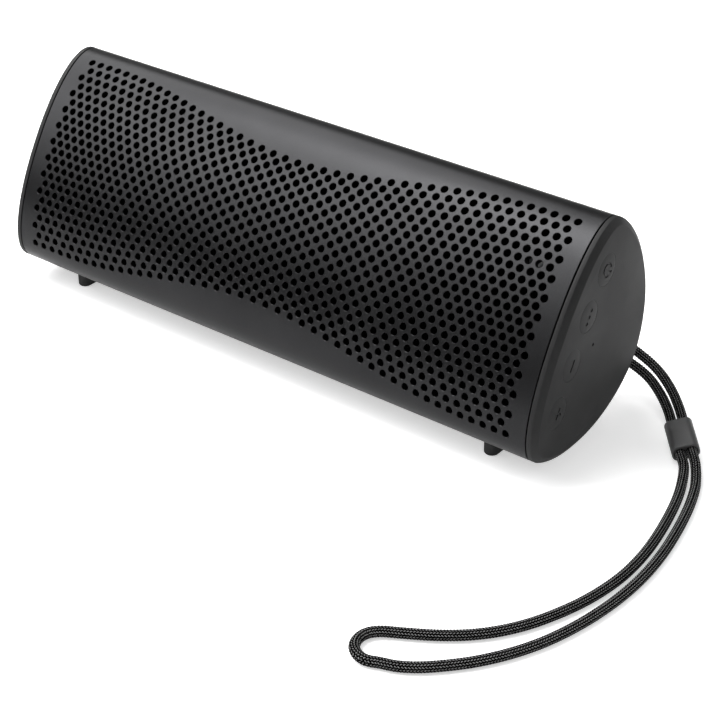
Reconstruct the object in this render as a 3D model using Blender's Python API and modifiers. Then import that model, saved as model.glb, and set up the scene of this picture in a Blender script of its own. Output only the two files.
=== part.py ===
"""Shower speaker: a leaning extruded tube with a perforated front, rubber end caps and a wrist strap.

Metres, +Z up. X runs along the body, Y towards its back. The origin is on the surface it stands on,
under the middle of the body. Most pieces are made in the body's own upright frame (X along, Y back,
Z up its long section axis) and hang on one empty that leans back.
"""

import math

import bmesh
import bpy
import numpy as np
from mathutils import Matrix, Vector

# Body: the section is two half superellipses, a shallow front and a deep back
BODY_LENGTH = 0.2136
HALF_HEIGHT = 0.0372
FRONT_DEPTH, FRONT_POWER = 0.0137, 2.17
BACK_DEPTH, BACK_POWER = 0.0376, 1.80
LEAN = math.radians(30.8)
GROUND_CLEARANCE = 0.0039
SECTION_POINTS = 48
WALL = 0.0020
GAP = 0.0003

# Stack at each end, measured from the middle of the body
FACE_X = BODY_LENGTH / 2
CAP_BACK_X = 0.1035
CAP_EDGE_X = 0.1050
CHAMFER_INSET = 0.0023
SHELL_END_X = 0.1031
PLATE_OUT_X, PLATE_IN_X = 0.1007, 0.0991
BOSS_END_X = 0.0988
BOSS_ANGLES = [math.radians(a) for a in (97, -97, 128, -128)]
BOSS_INSET, BOSS_RADIUS = 0.0050, 0.0032

# Buttons on the right end face, as (name, distance forward, height) in the body's frame
BUTTONS = [("power", 0.0009, 0.0216), ("function", 0.0021, 0.00735),
           ("volume_down", 0.0021, -0.00735), ("volume_up", 0.0009, -0.0216)]
BUTTON_HALF_DEPTH, BUTTON_HALF_HEIGHT = 0.00445, 0.0050
BUTTON_TOP_X, BUTTON_BACK_X, STEM_END_X = 0.10665, 0.1045, 0.1040
BOARD_IN_X, BOARD_OUT_X = 0.1010, 0.1018
MICROPHONE_FORWARD, MICROPHONE_RADIUS = -0.0065, 0.0005

# Loudspeakers, in the body's frame: Y of each layer from the front
BAFFLE_FRONT_Y, BAFFLE_BACK_Y = -0.0049, -0.0025
BAFFLE_HALF_LENGTH, BAFFLE_HALF_HEIGHT = 0.0975, 0.0285
FLANGE_FRONT_Y, FLANGE_BACK_Y = -0.0069, -0.0052
DRIVER_X, TWEETER_X = -0.024, 0.066
DRIVER_SCREWS = [(sx * 0.04965, sz * 0.01715) for sx in (-1, 1) for sz in (-1, 1)]
TWEETER_SCREWS = [(-0.0110, 0.0110), (0.0110, -0.0110)]
MOTOR_RADIUS = 0.0200
POLE_RADIUS = 0.0094

# Power and electronics
CELL_RADIUS, CELL_LENGTH = 0.0091, 0.0650
CELL_X, CELL_Y, CELL_Z = 0.0445, 0.0215, 0.0096
MAIN_BOARD_X, MAIN_BOARD_Y = -0.0705, 0.0208
BOARD_SCREW_X, BOARD_SCREW_Z = -0.0905, 0.0155
PORT_X, PORT_Z = -0.070, 0.012
LIGHT_X, LIGHT_Z = 0.0906, 0.0173

# Feet, in the world frame
FOOT_X, FOOT_HALF_WIDTH = 0.0849, 0.0024
FOOT_FRONT_Y, FOOT_BACK_Y = -0.0212, 0.0175
FOOT_TOP_Z = 0.0180

# Strap: a braided cord, its anchor in the rear wall, and a sliding bead
CORD_RADIUS = 0.00155
CORD_BORE_RADIUS = 0.00185
ANCHOR_X = 0.0935
ANCHOR_HALF_WIDTH, ANCHOR_HALF_HEIGHT = 0.0034, 0.0059
ANCHOR_IN_Y, ANCHOR_OUT_Y = 0.0295, 0.0386
ANCHOR_BORE_Z, ANCHOR_BORE_FLOOR_Y = 0.0022, 0.0345
BEAD_CENTRE = Vector((0.1290, 0.0160, 0.0047))
BEAD_ALONG = Vector((0.6475, -0.7554, -0.1007)).normalized()
BEAD_ROLL = math.radians(16)
BEAD_LENGTH, BEAD_WIDTH, BEAD_THICKNESS = 0.0130, 0.0084, 0.0054
BEAD_BORE_SPACING = 0.0034
CORD_REST_Z = 0.0016

# The strap's route on the surface, from the bead round the end of the loop and back (x, y in millimetres)
ROUTE_OUT = [(139.4, -2.2), (141.8, -9.0), (144.0, -17.0), (145.8, -25.0), (147.2, -33.0), (148.0, -41.0),
             (148.1, -49.0), (147.3, -57.0), (145.7, -65.0), (143.2, -73.0), (139.8, -81.0), (135.2, -88.5),
             (129.4, -95.0), (122.8, -100.2), (116.4, -104.2)]
ROUTE_TURN_CENTRE, ROUTE_TURN_RADIUS = (114.7, -112.5), 6.2
ROUTE_TURN_ANGLES = [128, 158, 188, 218, 248, 278, 308]
ROUTE_BACK = [(123.2, -115.6), (128.0, -112.3), (132.6, -107.8), (137.3, -102.3), (142.2, -94.8),
              (146.4, -86.0), (149.4, -76.5), (151.5, -66.0), (152.6, -55.0), (152.6, -44.5), (151.6, -34.0),
              (149.9, -24.5), (147.7, -15.0), (145.1, -6.2), (142.0, 1.7)]


# ---------------------------------------------------------------- the body's section

def section_point(angle, inset=0.0):
    """(y, z) of the section at a parameter angle, 0 at the front and 90 degrees at the top, moved inwards."""
    c, s = math.cos(angle), math.sin(angle)
    depth, power = (FRONT_DEPTH, FRONT_POWER) if c > 0 else (BACK_DEPTH, BACK_POWER)
    y = -math.copysign(depth * abs(c) ** (2 / power), c)
    z = math.copysign(HALF_HEIGHT * abs(s) ** (2 / power), s)
    slope = 2 * (power - 1) / power
    ny = -math.copysign(abs(c) ** slope / depth, c)
    nz = math.copysign(abs(s) ** slope / HALF_HEIGHT, s)
    size = math.hypot(ny, nz)
    return y - inset * ny / size, z - inset * nz / size


def section(inset=0.0):
    """Closed outline of the section as (y, z) points."""
    return [section_point(2 * math.pi * k / SECTION_POINTS, inset) for k in range(SECTION_POINTS)]


def leaned(y, z):
    """The body frame's (y, z) turned by the lean, about the body's own axis."""
    return y * math.cos(LEAN) + z * math.sin(LEAN), -y * math.sin(LEAN) + z * math.cos(LEAN)


LEANED = [leaned(y, z) for y, z in section()]
AXIS_Y = -(min(p[0] for p in LEANED) + max(p[0] for p in LEANED)) / 2
AXIS_Z = GROUND_CLEARANCE - min(p[1] for p in LEANED)


def world_point(x, y, z):
    """A point of the body's frame in the world."""
    across, up = leaned(y, z)
    return Vector((x, AXIS_Y + across, AXIS_Z + up))


# ---------------------------------------------------------------- scene, collections and materials

for old in list(bpy.data.objects):
    bpy.data.objects.remove(old, do_unlink=True)

PARTS = bpy.data.collections.new("shower_speaker")
CUTTERS = bpy.data.collections.new("cutters")
bpy.context.scene.collection.children.link(PARTS)
bpy.context.scene.collection.children.link(CUTTERS)

BODY = bpy.data.objects.new("leaning_body", None)
BODY.location = (0, AXIS_Y, AXIS_Z)
BODY.rotation_euler = (-LEAN, 0, 0)
PARTS.objects.link(BODY)


def material(name, colour, roughness, metallic=0.0):
    made = bpy.data.materials.new(name)
    made.use_nodes = True
    shader = made.node_tree.nodes["Principled BSDF"]
    shader.inputs["Base Color"].default_value = (*colour, 1)
    shader.inputs["Roughness"].default_value = roughness
    shader.inputs["Metallic"].default_value = metallic
    return made


# Facing of a flat shape: the way its thickness runs, in its parent's frame
END = (math.radians(90), 0, math.radians(90))
FRONT = (math.radians(90), 0, 0)
BACK = (math.radians(90), 0, math.radians(180))
LEVEL = (0, 0, 0)


def place(obj, finish=None, at=(0, 0, 0), facing=LEVEL, parent=BODY):
    """Link a part, or a cutter when it has no finish."""
    obj.location = at
    obj.rotation_euler = facing
    obj.parent = parent
    if finish is None:
        CUTTERS.objects.link(obj)
        obj.hide_render = True
        obj.display_type = "WIRE"
    else:
        PARTS.objects.link(obj)
        obj.data.materials.append(material(obj.name + "_finish", *finish))
    return obj


def mesh_object(name, shape):
    """An object from a bmesh, which is freed."""
    mesh = bpy.data.meshes.new(name)
    shape.to_mesh(mesh)
    shape.free()
    return bpy.data.objects.new(name, mesh)


def flat_shape(name, outlines, thickness):
    """A flat shape of one thickness: the first outline is its edge, and the others are holes in it."""
    curve = bpy.data.curves.new(name, "CURVE")
    curve.dimensions = "2D"
    curve.fill_mode = "BOTH"
    curve.extrude = thickness / 2
    for outline in outlines:
        spline = curve.splines.new("POLY")
        spline.points.add(len(outline) - 1)
        for point, (a, b) in zip(spline.points, outline):
            point.co = (a, b, 0, 1)
        spline.use_cyclic_u = True
    drawn = bpy.data.objects.new(name + "_outline", curve)
    bpy.context.scene.collection.objects.link(drawn)
    evaluated = drawn.evaluated_get(bpy.context.evaluated_depsgraph_get())
    shape = bmesh.new()
    solid = bpy.data.meshes.new_from_object(evaluated)
    shape.from_mesh(solid)
    bpy.data.meshes.remove(solid)
    bmesh.ops.remove_doubles(shape, verts=shape.verts, dist=1e-6)
    bmesh.ops.recalc_face_normals(shape, faces=shape.faces)
    bpy.data.objects.remove(drawn, do_unlink=True)
    bpy.data.curves.remove(curve)
    return mesh_object(name, shape)


def rod_shape(name, radius, length, sides=12, end_radius=None):
    """A cylinder or a cone along Z, centred."""
    shape = bmesh.new()
    bmesh.ops.create_cone(shape, cap_ends=True, segments=sides, radius1=radius,
                          radius2=radius if end_radius is None else end_radius, depth=length)
    return mesh_object(name, shape)


def box_shape(name, size):
    shape = bmesh.new()
    bmesh.ops.create_cube(shape, size=1)
    bmesh.ops.scale(shape, vec=size, verts=shape.verts)
    return mesh_object(name, shape)


def turned_shape(name, profile, steps=20, ring=False):
    """A profile of (radius, height) points, top to bottom down its outer side, turned about Z."""
    mesh = bpy.data.meshes.new(name)
    edges = [(k, k + 1) for k in range(len(profile) - 1)]
    if ring:
        edges.append((len(profile) - 1, 0))
    mesh.from_pydata([(r, 0, h) for r, h in profile], edges, [])
    obj = bpy.data.objects.new(name, mesh)
    screw = obj.modifiers.new("turn", "SCREW")
    screw.axis = "Z"
    screw.steps = screw.render_steps = steps
    screw.use_merge_vertices = True
    screw.merge_threshold = 0.00001
    return obj


def loft_shape(name, rings, close=True, around=False):
    """A skin over like rings of (x, y, z) points: closed by a face at each end, left open, or led back around."""
    shape = bmesh.new()
    loops = [[shape.verts.new(p) for p in ring] for ring in rings]
    pairs = list(zip(loops, loops[1:]))
    if around:
        pairs.append((loops[-1], loops[0]))
    for first, second in pairs:
        for k in range(len(first)):
            shape.faces.new((first[k - 1], first[k], second[k], second[k - 1]))
    if close and not around:
        shape.faces.new(loops[0])
        shape.faces.new(loops[-1])
    bmesh.ops.recalc_face_normals(shape, faces=shape.faces)
    if (close or around) and shape.calc_volume(signed=True) < 0:
        bmesh.ops.reverse_faces(shape, faces=shape.faces)
    return mesh_object(name, shape)


def thicken(obj, thickness, offset):
    solid = obj.modifiers.new("thickness", "SOLIDIFY")
    solid.thickness = thickness
    solid.offset = offset


def boolean(obj, other, operation="DIFFERENCE"):
    step = obj.modifiers.new(other.name, "BOOLEAN")
    step.operation = operation
    step.solver = "EXACT"
    step.object = other


def circle(radius, centre=(0, 0), count=12):
    return [(centre[0] + radius * math.cos(2 * math.pi * k / count),
             centre[1] + radius * math.sin(2 * math.pi * k / count)) for k in range(count)]


def racetrack(length, height, count=24):
    """Two half circles joined by straight sides, long along the first axis."""
    radius = min(length, height) / 2
    points = []
    for k in range(count):
        angle = 2 * math.pi * (k + 0.5) / count
        c, s = math.cos(angle), math.sin(angle)
        points.append((radius * c + math.copysign(length / 2 - radius, c) * (length > height),
                       radius * s + math.copysign(height / 2 - radius, s) * (height > length)))
    return points


def moved(outline, dx, dy):
    return [(a + dx, b + dy) for a, b in outline]


def boss_centre(angle):
    return section_point(angle, BOSS_INSET)


ALUMINIUM = ((0.045, 0.045, 0.047), 0.42, 0.9)
RUBBER = ((0.035, 0.035, 0.036), 0.65, 0.0)
BLACK_PLASTIC = ((0.02, 0.02, 0.02), 0.5, 0.0)
STEEL = ((0.45, 0.45, 0.46), 0.35, 1.0)
FERRITE = ((0.06, 0.055, 0.055), 0.6, 0.0)
BOARD_GREEN = ((0.02, 0.09, 0.045), 0.45, 0.0)
PAPER_CONE = ((0.05, 0.05, 0.055), 0.6, 0.0)
SOFT_DOME = ((0.03, 0.03, 0.03), 0.7, 0.0)
COPPER = ((0.55, 0.25, 0.12), 0.4, 1.0)
CELL_WRAP = ((0.05, 0.16, 0.35), 0.4, 0.0)
CLEAR_PLASTIC = ((0.75, 0.75, 0.75), 0.2, 0.0)
BRAID = ((0.02, 0.02, 0.02), 0.8, 0.0)
CLOTH = ((0.01, 0.01, 0.01), 0.9, 0.0)


# ---------------------------------------------------------------- casing

def body_shell():
    """One extrusion: the tube with four screw channels inside, a port slot and a hole for the strap anchor."""
    shell = place(flat_shape("body_shell", [section(), section(WALL)], 2 * SHELL_END_X), ALUMINIUM, facing=END)
    for n, angle in enumerate(BOSS_ANGLES):
        y, z = boss_centre(angle)
        channel = place(rod_shape(f"channel_{n}", BOSS_RADIUS, 2 * BOSS_END_X), at=(0, y, z), facing=END)
        boolean(shell, channel, "UNION")
    for n, angle in enumerate(BOSS_ANGLES):
        y, z = boss_centre(angle)
        for side in (-1, 1):
            bore = place(rod_shape(f"channel_bore_{n}_{side}", 0.0011, 0.024, 8),
                         at=(side * BOSS_END_X, y, z), facing=END)
            boolean(shell, bore)
    port = place(flat_shape("port_slot", [racetrack(0.0096, 0.0039, 16)], 0.012),
                 at=(PORT_X, 0.034, PORT_Z), facing=FRONT)
    boolean(shell, port)
    seat = racetrack(2 * (ANCHOR_HALF_WIDTH + GAP), 2 * (ANCHOR_HALF_HEIGHT + GAP), 24)
    boolean(shell, place(flat_shape("anchor_seat", [seat], 0.012), at=(ANCHOR_X, 0.037, 0), facing=FRONT))


def end_cap(name, side):
    """Rubber cover over one end: a straight rim, a chamfer and a flat face."""
    steps = [(CAP_BACK_X, 0), (CAP_EDGE_X, 0), (FACE_X, CHAMFER_INSET)]
    rings = [[(side * x, y, z) for y, z in section(inset)] for x, inset in steps]
    return place(loft_shape(name, rings), RUBBER)


def ellipse(half_depth, half_height, count=24):
    return [(half_depth * math.cos(2 * math.pi * k / count), half_height * math.sin(2 * math.pi * k / count))
            for k in range(count)]


def end_caps():
    end_cap("end_cap_left", -1)
    right = end_cap("end_cap_right", 1)
    for name, forward, height in BUTTONS:
        pocket = flat_shape(name + "_pocket", [ellipse(BUTTON_HALF_DEPTH + GAP, BUTTON_HALF_HEIGHT + GAP)], 0.012)
        boolean(right, place(pocket, at=(CAP_EDGE_X, -forward, height), facing=END))
    hole = place(rod_shape("microphone_hole", MICROPHONE_RADIUS, 0.012, 8),
                 at=(CAP_EDGE_X, -MICROPHONE_FORWARD, 0), facing=END)
    boolean(right, hole)


def end_plates_and_seals():
    for word, side in (("left", -1), ("right", 1)):
        plate = place(flat_shape(f"end_plate_{word}", [section(WALL + GAP)], PLATE_OUT_X - PLATE_IN_X),
                      BLACK_PLASTIC, at=(side * (PLATE_OUT_X + PLATE_IN_X) / 2, 0, 0), facing=END)
        seal_in, seal_out = PLATE_OUT_X + GAP, CAP_BACK_X - GAP
        place(flat_shape(f"seal_{word}", [section(0.0024), section(0.0040)], seal_out - seal_in), RUBBER,
              at=(side * (seal_in + seal_out) / 2, 0, 0), facing=END)
        for n, angle in enumerate(BOSS_ANGLES):
            y, z = boss_centre(angle)
            head = (side * (PLATE_OUT_X - 0.0001), y, z)
            turn = END if side > 0 else (math.radians(90), 0, math.radians(-90))
            sink = [(0, 0.0010), (0.0022, 0.0010), (0.0022, -0.0002), (0.0012, -0.0012), (0.0012, -0.0030), (0, -0.0030)]
            boolean(plate, place(turned_shape(f"plate_sink_{word}_{n + 1}", sink, 12), at=head, facing=turn))
            screw = [(0, 0), (0.0018, 0), (0.0018, -0.0002), (0.0008, -0.0012), (0.0008, -0.0090), (0, -0.0094)]
            place(turned_shape(f"plate_screw_{word}_{n + 1}", screw, 12), STEEL, at=head, facing=turn)


def feet():
    """Two rubber bars under the body, round at their ends and shaped on top to the tube's underside."""
    middle = (FOOT_FRONT_Y + FOOT_BACK_Y) / 2
    for word, side in (("left", -1), ("right", 1)):
        bar = racetrack(2 * FOOT_HALF_WIDTH, FOOT_BACK_Y - FOOT_FRONT_Y, 24)
        foot = place(flat_shape(f"foot_{word}", [bar], FOOT_TOP_Z), RUBBER,
                     at=(side * FOOT_X, middle, FOOT_TOP_Z / 2), parent=None)
        under = place(flat_shape(f"foot_fit_{word}", [section(-GAP)], 0.02), at=(side * FOOT_X, 0, 0), facing=END)
        boolean(foot, under)


# ---------------------------------------------------------------- buttons and their board

def buttons():
    """Four oval keys that push along the body's axis onto low dome switches."""
    place(flat_shape("button_board", [section(0.0046)], BOARD_OUT_X - BOARD_IN_X), BOARD_GREEN,
          at=((BOARD_OUT_X + BOARD_IN_X) / 2, 0, 0), facing=END)
    for name, forward, height in BUTTONS:
        key = flat_shape(name + "_button", [ellipse(BUTTON_HALF_DEPTH, BUTTON_HALF_HEIGHT)],
                         BUTTON_TOP_X - BUTTON_BACK_X)
        place(key, RUBBER, at=((BUTTON_TOP_X + BUTTON_BACK_X) / 2, -forward, height), facing=END)
        stem_length = BUTTON_BACK_X - STEM_END_X + 0.0005
        stem = place(rod_shape(name + "_stem", 0.0015, stem_length),
                     at=(STEM_END_X + stem_length / 2, -forward, height), facing=END)
        boolean(key, stem, "UNION")
        profile = [(0, 0.0012), (0.0010, 0.0012), (0.0010, 0.0009), (0.0021, 0.0009), (0.0021, 0), (0, 0)]
        place(turned_shape(name + "_switch", profile, 12), STEEL,
              at=(BOARD_OUT_X + GAP, -forward, height), facing=END)


# ---------------------------------------------------------------- loudspeakers

def front_rings(steps, x, count=24):
    """Racetrack rings facing the front: (length, height, y) for each, centred at x."""
    return [[(x + a, y, b) for a, b in racetrack(length, height, count)] for length, height, y in steps]


def baffle():
    """The board that both loudspeakers are screwed to, with two posts for the main board."""
    edge = []
    for sx, sz, start in ((1, 1, 0), (-1, 1, 90), (-1, -1, 180), (1, -1, 270)):
        for k in range(5):
            angle = math.radians(start + 22.5 * k)
            edge.append((sx * (BAFFLE_HALF_LENGTH - 0.008) + 0.008 * math.cos(angle),
                         sz * (BAFFLE_HALF_HEIGHT - 0.008) + 0.008 * math.sin(angle)))
    holes = [moved(racetrack(0.1090, 0.0440), DRIVER_X, 0), circle(0.0132, (TWEETER_X, 0), 20)]
    holes += [circle(0.0012, (DRIVER_X + a, b), 8) for a, b in DRIVER_SCREWS]
    holes += [circle(0.0012, (TWEETER_X + a, b), 8) for a, b in TWEETER_SCREWS]
    holes.append(circle(0.0014, (LIGHT_X, LIGHT_Z), 8))
    board = place(flat_shape("baffle", [edge] + holes, BAFFLE_BACK_Y - BAFFLE_FRONT_Y), BLACK_PLASTIC,
                  at=(0, (BAFFLE_BACK_Y + BAFFLE_FRONT_Y) / 2, 0), facing=FRONT)
    for n, s in enumerate((-1, 1)):
        length = MAIN_BOARD_Y - 0.0011 - BAFFLE_BACK_Y + 0.001
        post = place(rod_shape(f"board_post_{n}", 0.0021, length),
                     at=(BOARD_SCREW_X, MAIN_BOARD_Y - 0.0011 - length / 2, s * BOARD_SCREW_Z), facing=FRONT)
        boolean(board, post, "UNION")
        bore = place(rod_shape(f"post_bore_{n}", 0.0011, 0.014, 8),
                     at=(BOARD_SCREW_X, MAIN_BOARD_Y - 0.0011, s * BOARD_SCREW_Z), facing=FRONT)
        boolean(board, bore)


def grille_cloth():
    """Water-shedding cloth on the inside of the perforated wall."""
    angles = [math.radians(a) for a in range(-60, 61, 5)]
    outer = [section_point(a, WALL + GAP) for a in angles]
    inner = [section_point(a, WALL + GAP + 0.0004) for a in reversed(angles)]
    place(flat_shape("grille_cloth", [outer + inner], 2 * 0.0985), CLOTH, facing=END)


def main_driver():
    outside = [(0.1170, 0.0520, FLANGE_FRONT_Y), (0.1170, 0.0520, FLANGE_BACK_Y - GAP),
               (0.1080, 0.0430, FLANGE_BACK_Y - GAP), (0.0620, 0.0420, 0.0088)]
    inside = [(0.0300, 0.0300, 0.0088), (0.0300, 0.0300, 0.0074), (0.0590, 0.0390, 0.0074),
              (0.1055, 0.0405, FLANGE_FRONT_Y)]
    frame = place(loft_shape("driver_frame", front_rings(outside + inside, DRIVER_X), around=True), STEEL)
    for n, (a, b) in enumerate(DRIVER_SCREWS):
        hole = place(rod_shape(f"flange_hole_{n}", 0.0012, 0.004, 8), at=(DRIVER_X + a, FLANGE_FRONT_Y, b), facing=FRONT)
        boolean(frame, hole)
        profile = [(0, 0.0011), (0.0009, 0.0010), (0.0014, 0.0004), (0.0014, 0), (0.0008, 0), (0.0008, -0.0080),
                   (0, -0.0084)]
        place(turned_shape(f"driver_screw_{n + 1}", profile, 12), STEEL,
              at=(DRIVER_X + a, FLANGE_FRONT_Y - GAP, b), facing=FRONT)
    surround_steps = [(0.1100, 0.0450, -0.0080), (0.1070, 0.0420, -0.0080), (0.1040, 0.0390, -0.0088),
                      (0.0980, 0.0330, -0.0088), (0.0934, 0.0284, -0.0076)]
    surround = place(loft_shape("driver_surround", front_rings(surround_steps, DRIVER_X), close=False), RUBBER)
    thicken(surround, 0.0008, -1)
    cone_steps = [(0.0924, 0.0274, -0.0069), (0.0204, 0.0204, 0.0030)]
    cone = place(loft_shape("driver_cone", front_rings(cone_steps, DRIVER_X), close=False), PAPER_CONE)
    thicken(cone, 0.0007, -1)
    cap = [(0, 0.0024), (0.0035, 0.0021), (0.0068, 0.0012), (0.0090, 0), (0.0090, -0.0006), (0.0064, 0.0007),
           (0.0032, 0.0015), (0, 0.0018)]
    place(turned_shape("dust_cap", cap), PAPER_CONE, at=(DRIVER_X, 0.0004, 0), facing=FRONT)
    coil = [(0.0098, 0), (0.0105, 0), (0.0105, -0.0088), (0.0098, -0.0088)]
    place(turned_shape("voice_coil", coil, ring=True), COPPER, at=(DRIVER_X, 0.0033, 0), facing=FRONT)
    plate = [(0.0109, 0), (MOTOR_RADIUS, 0), (MOTOR_RADIUS, -0.003), (0.0109, -0.003)]
    place(turned_shape("motor_top_plate", plate, ring=True), STEEL, at=(DRIVER_X, 0.0093, 0), facing=FRONT)
    magnet = [(0.0125, 0), (MOTOR_RADIUS, 0), (MOTOR_RADIUS, -0.006), (0.0125, -0.006)]
    place(turned_shape("motor_magnet", magnet, ring=True), FERRITE, at=(DRIVER_X, 0.0126, 0), facing=FRONT)
    yoke = [(0, 0.0096), (POLE_RADIUS, 0.0096), (POLE_RADIUS, 0), (MOTOR_RADIUS, 0), (MOTOR_RADIUS, -0.0035), (0, -0.0035)]
    place(turned_shape("motor_yoke", yoke), STEEL, at=(DRIVER_X, 0.0189, 0), facing=FRONT)


def tweeter():
    housing = [(0, -0.0025), (0.0102, -0.0025), (0.0102, 0), (0.0175, 0), (0.0175, -0.0017), (0.0125, -0.0017),
               (0.0125, -0.0129), (0, -0.0129)]
    body = place(turned_shape("tweeter_housing", housing), BLACK_PLASTIC,
                 at=(TWEETER_X, FLANGE_FRONT_Y, 0), facing=FRONT)
    dome = [(0, 0.0033), (0.0036, 0.0029), (0.0068, 0.0016), (0.0095, -0.0004), (0.0095, -0.0010),
            (0.0064, 0.0011), (0.0034, 0.0024), (0, 0.0028)]
    place(turned_shape("tweeter_dome", dome), SOFT_DOME, at=(TWEETER_X, -0.0056, 0), facing=FRONT)
    place(turned_shape("tweeter_magnet", [(0, 0), (0.0090, 0), (0.0090, -0.0045), (0, -0.0045)]), FERRITE,
          at=(TWEETER_X, 0.0063, 0), facing=FRONT)
    for n, (a, b) in enumerate(TWEETER_SCREWS):
        hole = place(rod_shape(f"tweeter_hole_{n}", 0.0012, 0.0060, 10),
                     at=(TWEETER_X + a, FLANGE_FRONT_Y, b), facing=FRONT)
        boolean(body, hole)
        profile = [(0, 0.0011), (0.0009, 0.0010), (0.0014, 0.0004), (0.0014, 0), (0.0008, 0), (0.0008, -0.0080),
                   (0, -0.0084)]
        place(turned_shape(f"tweeter_screw_{n + 1}", profile, 12), STEEL,
              at=(TWEETER_X + a, FLANGE_FRONT_Y - GAP, b), facing=FRONT)


# ---------------------------------------------------------------- power and electronics

def battery():
    cell = [(0, 0.0004), (0.0028, 0.0004), (0.0030, 0), (CELL_RADIUS, 0), (CELL_RADIUS, -CELL_LENGTH), (0, -CELL_LENGTH)]
    cradle = place(box_shape("battery_cradle", (0.058, 0.0077, 0.036)), BLACK_PLASTIC, at=(CELL_X, 0.01515, 0))
    for n, s in enumerate((1, -1)):
        place(turned_shape(f"battery_cell_{n + 1}", cell, 20), CELL_WRAP,
              at=(CELL_X + CELL_LENGTH / 2, CELL_Y, s * CELL_Z), facing=END)
        trough = place(rod_shape(f"trough_{n}", CELL_RADIUS + GAP, 0.07, 20), at=(CELL_X, CELL_Y, s * CELL_Z), facing=END)
        boolean(cradle, trough)


def electronics():
    holes = [circle(0.0012, (BOARD_SCREW_X - MAIN_BOARD_X, s * BOARD_SCREW_Z), 8) for s in (-1, 1)]
    board_edge = [(-0.0235, -0.019), (0.0235, -0.019), (0.0235, 0.019), (-0.0235, 0.019)]
    place(flat_shape("main_board", [board_edge] + holes, 0.0016), BOARD_GREEN,
          at=(MAIN_BOARD_X, MAIN_BOARD_Y, 0), facing=FRONT)
    behind = MAIN_BOARD_Y + 0.0008 + GAP
    place(box_shape("amplifier_shield", (0.017, 0.0026, 0.013)), STEEL, at=(-0.066, behind + 0.0013, -0.008))
    for n, x in enumerate((-0.054, -0.0855)):
        profile = [(0, 0), (0.0028, 0), (0.0031, -0.0004), (0.0031, -0.0055), (0, -0.0055)]
        place(turned_shape(f"capacitor_{n + 1}", profile, 16), STEEL, at=(x, behind + 0.0055, -0.001), facing=BACK)
    for n, s in enumerate((-1, 1)):
        profile = [(0, 0.0010), (0.0008, 0.0009), (0.0014, 0.0004), (0.0014, 0), (0.0008, 0), (0.0008, -0.0060),
                   (0, -0.0064)]
        place(turned_shape(f"board_screw_{n + 1}", profile, 12), STEEL,
              at=(BOARD_SCREW_X, behind, s * BOARD_SCREW_Z), facing=BACK)
    port_length = 0.0334 - behind
    place(flat_shape("usb_port", [racetrack(0.0089, 0.0032, 16), racetrack(0.0083, 0.0026, 16)], port_length), STEEL,
          at=(PORT_X, behind + port_length / 2, PORT_Z), facing=FRONT)
    place(box_shape("usb_tongue", (0.0062, port_length - 0.0012, 0.0007)), BLACK_PLASTIC,
          at=(PORT_X, behind + port_length / 2 - 0.0006, PORT_Z))
    guide = [(0, 0.0034), (0.0010, 0.0030), (0.0010, -0.0034), (0, -0.0034)]
    place(turned_shape("status_light_guide", guide, 8), CLEAR_PLASTIC,
          at=(LIGHT_X, -0.0048, LIGHT_Z), facing=FRONT)


# ---------------------------------------------------------------- strap

def strap_anchor():
    """A moulded insert in the rear wall with a blind bore for each end of the cord."""
    edge = racetrack(2 * ANCHOR_HALF_WIDTH, 2 * ANCHOR_HALF_HEIGHT, 24)
    anchor = place(flat_shape("strap_anchor", [edge], ANCHOR_OUT_Y - ANCHOR_IN_Y), BLACK_PLASTIC,
                   at=(ANCHOR_X, (ANCHOR_OUT_Y + ANCHOR_IN_Y) / 2, 0), facing=FRONT)
    for n, s in enumerate((-1, 1)):
        depth = 0.010
        bore = place(rod_shape(f"anchor_bore_{n}", CORD_BORE_RADIUS, depth),
                     at=(ANCHOR_X, ANCHOR_BORE_FLOOR_Y + depth / 2, s * ANCHOR_BORE_Z), facing=FRONT)
        boolean(anchor, bore)


LEVEL_ACROSS = Vector((-BEAD_ALONG.y, BEAD_ALONG.x, 0)).normalized()
BEAD_UP = BEAD_ALONG.cross(LEVEL_ACROSS)
if BEAD_UP.z < 0:
    LEVEL_ACROSS.negate()
    BEAD_UP.negate()
BEAD_ACROSS = LEVEL_ACROSS * math.cos(BEAD_ROLL) + BEAD_UP * math.sin(BEAD_ROLL) * (1 if LEVEL_ACROSS.x > 0 else -1)


def route():
    """The strap's centre line: out of the lower bore, round the loop and back into the upper bore."""
    lower = [world_point(ANCHOR_X, y, -ANCHOR_BORE_Z) for y in (ANCHOR_BORE_FLOOR_Y + GAP, 0.0375, 0.0405)]
    upper = [world_point(ANCHOR_X, y, ANCHOR_BORE_Z) for y in (ANCHOR_BORE_FLOOR_Y + GAP, 0.0375, 0.0410)]
    half = BEAD_ACROSS * BEAD_BORE_SPACING / 2
    stretch = [BEAD_CENTRE + BEAD_ALONG * t for t in (-0.0140, -0.0070, 0.0, 0.0070, 0.0125)]
    fall_lower = [Vector(p) / 1000 for p in ((95.3, 31.2, 14.4), (99.9, 34.3, 11.4), (106.0, 34.4, 8.8), (112.8, 30.7, 6.9))]
    fall_upper = [Vector(p) / 1000 for p in ((95.6, 33.8, 18.2), (100.6, 37.0, 14.2), (107.6, 36.9, 10.9), (115.0, 33.0, 8.4))]
    turn = [(ROUTE_TURN_CENTRE[0] + ROUTE_TURN_RADIUS * math.cos(math.radians(a)),
             ROUTE_TURN_CENTRE[1] + ROUTE_TURN_RADIUS * math.sin(math.radians(a))) for a in ROUTE_TURN_ANGLES]
    flat = [Vector((x / 1000, y / 1000, CORD_REST_Z)) for x, y in ROUTE_OUT + turn + ROUTE_BACK]
    return (lower + fall_lower + [p - half for p in stretch] + flat
            + [p + half for p in reversed(stretch)] + list(reversed(fall_upper)) + list(reversed(upper)))


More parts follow.
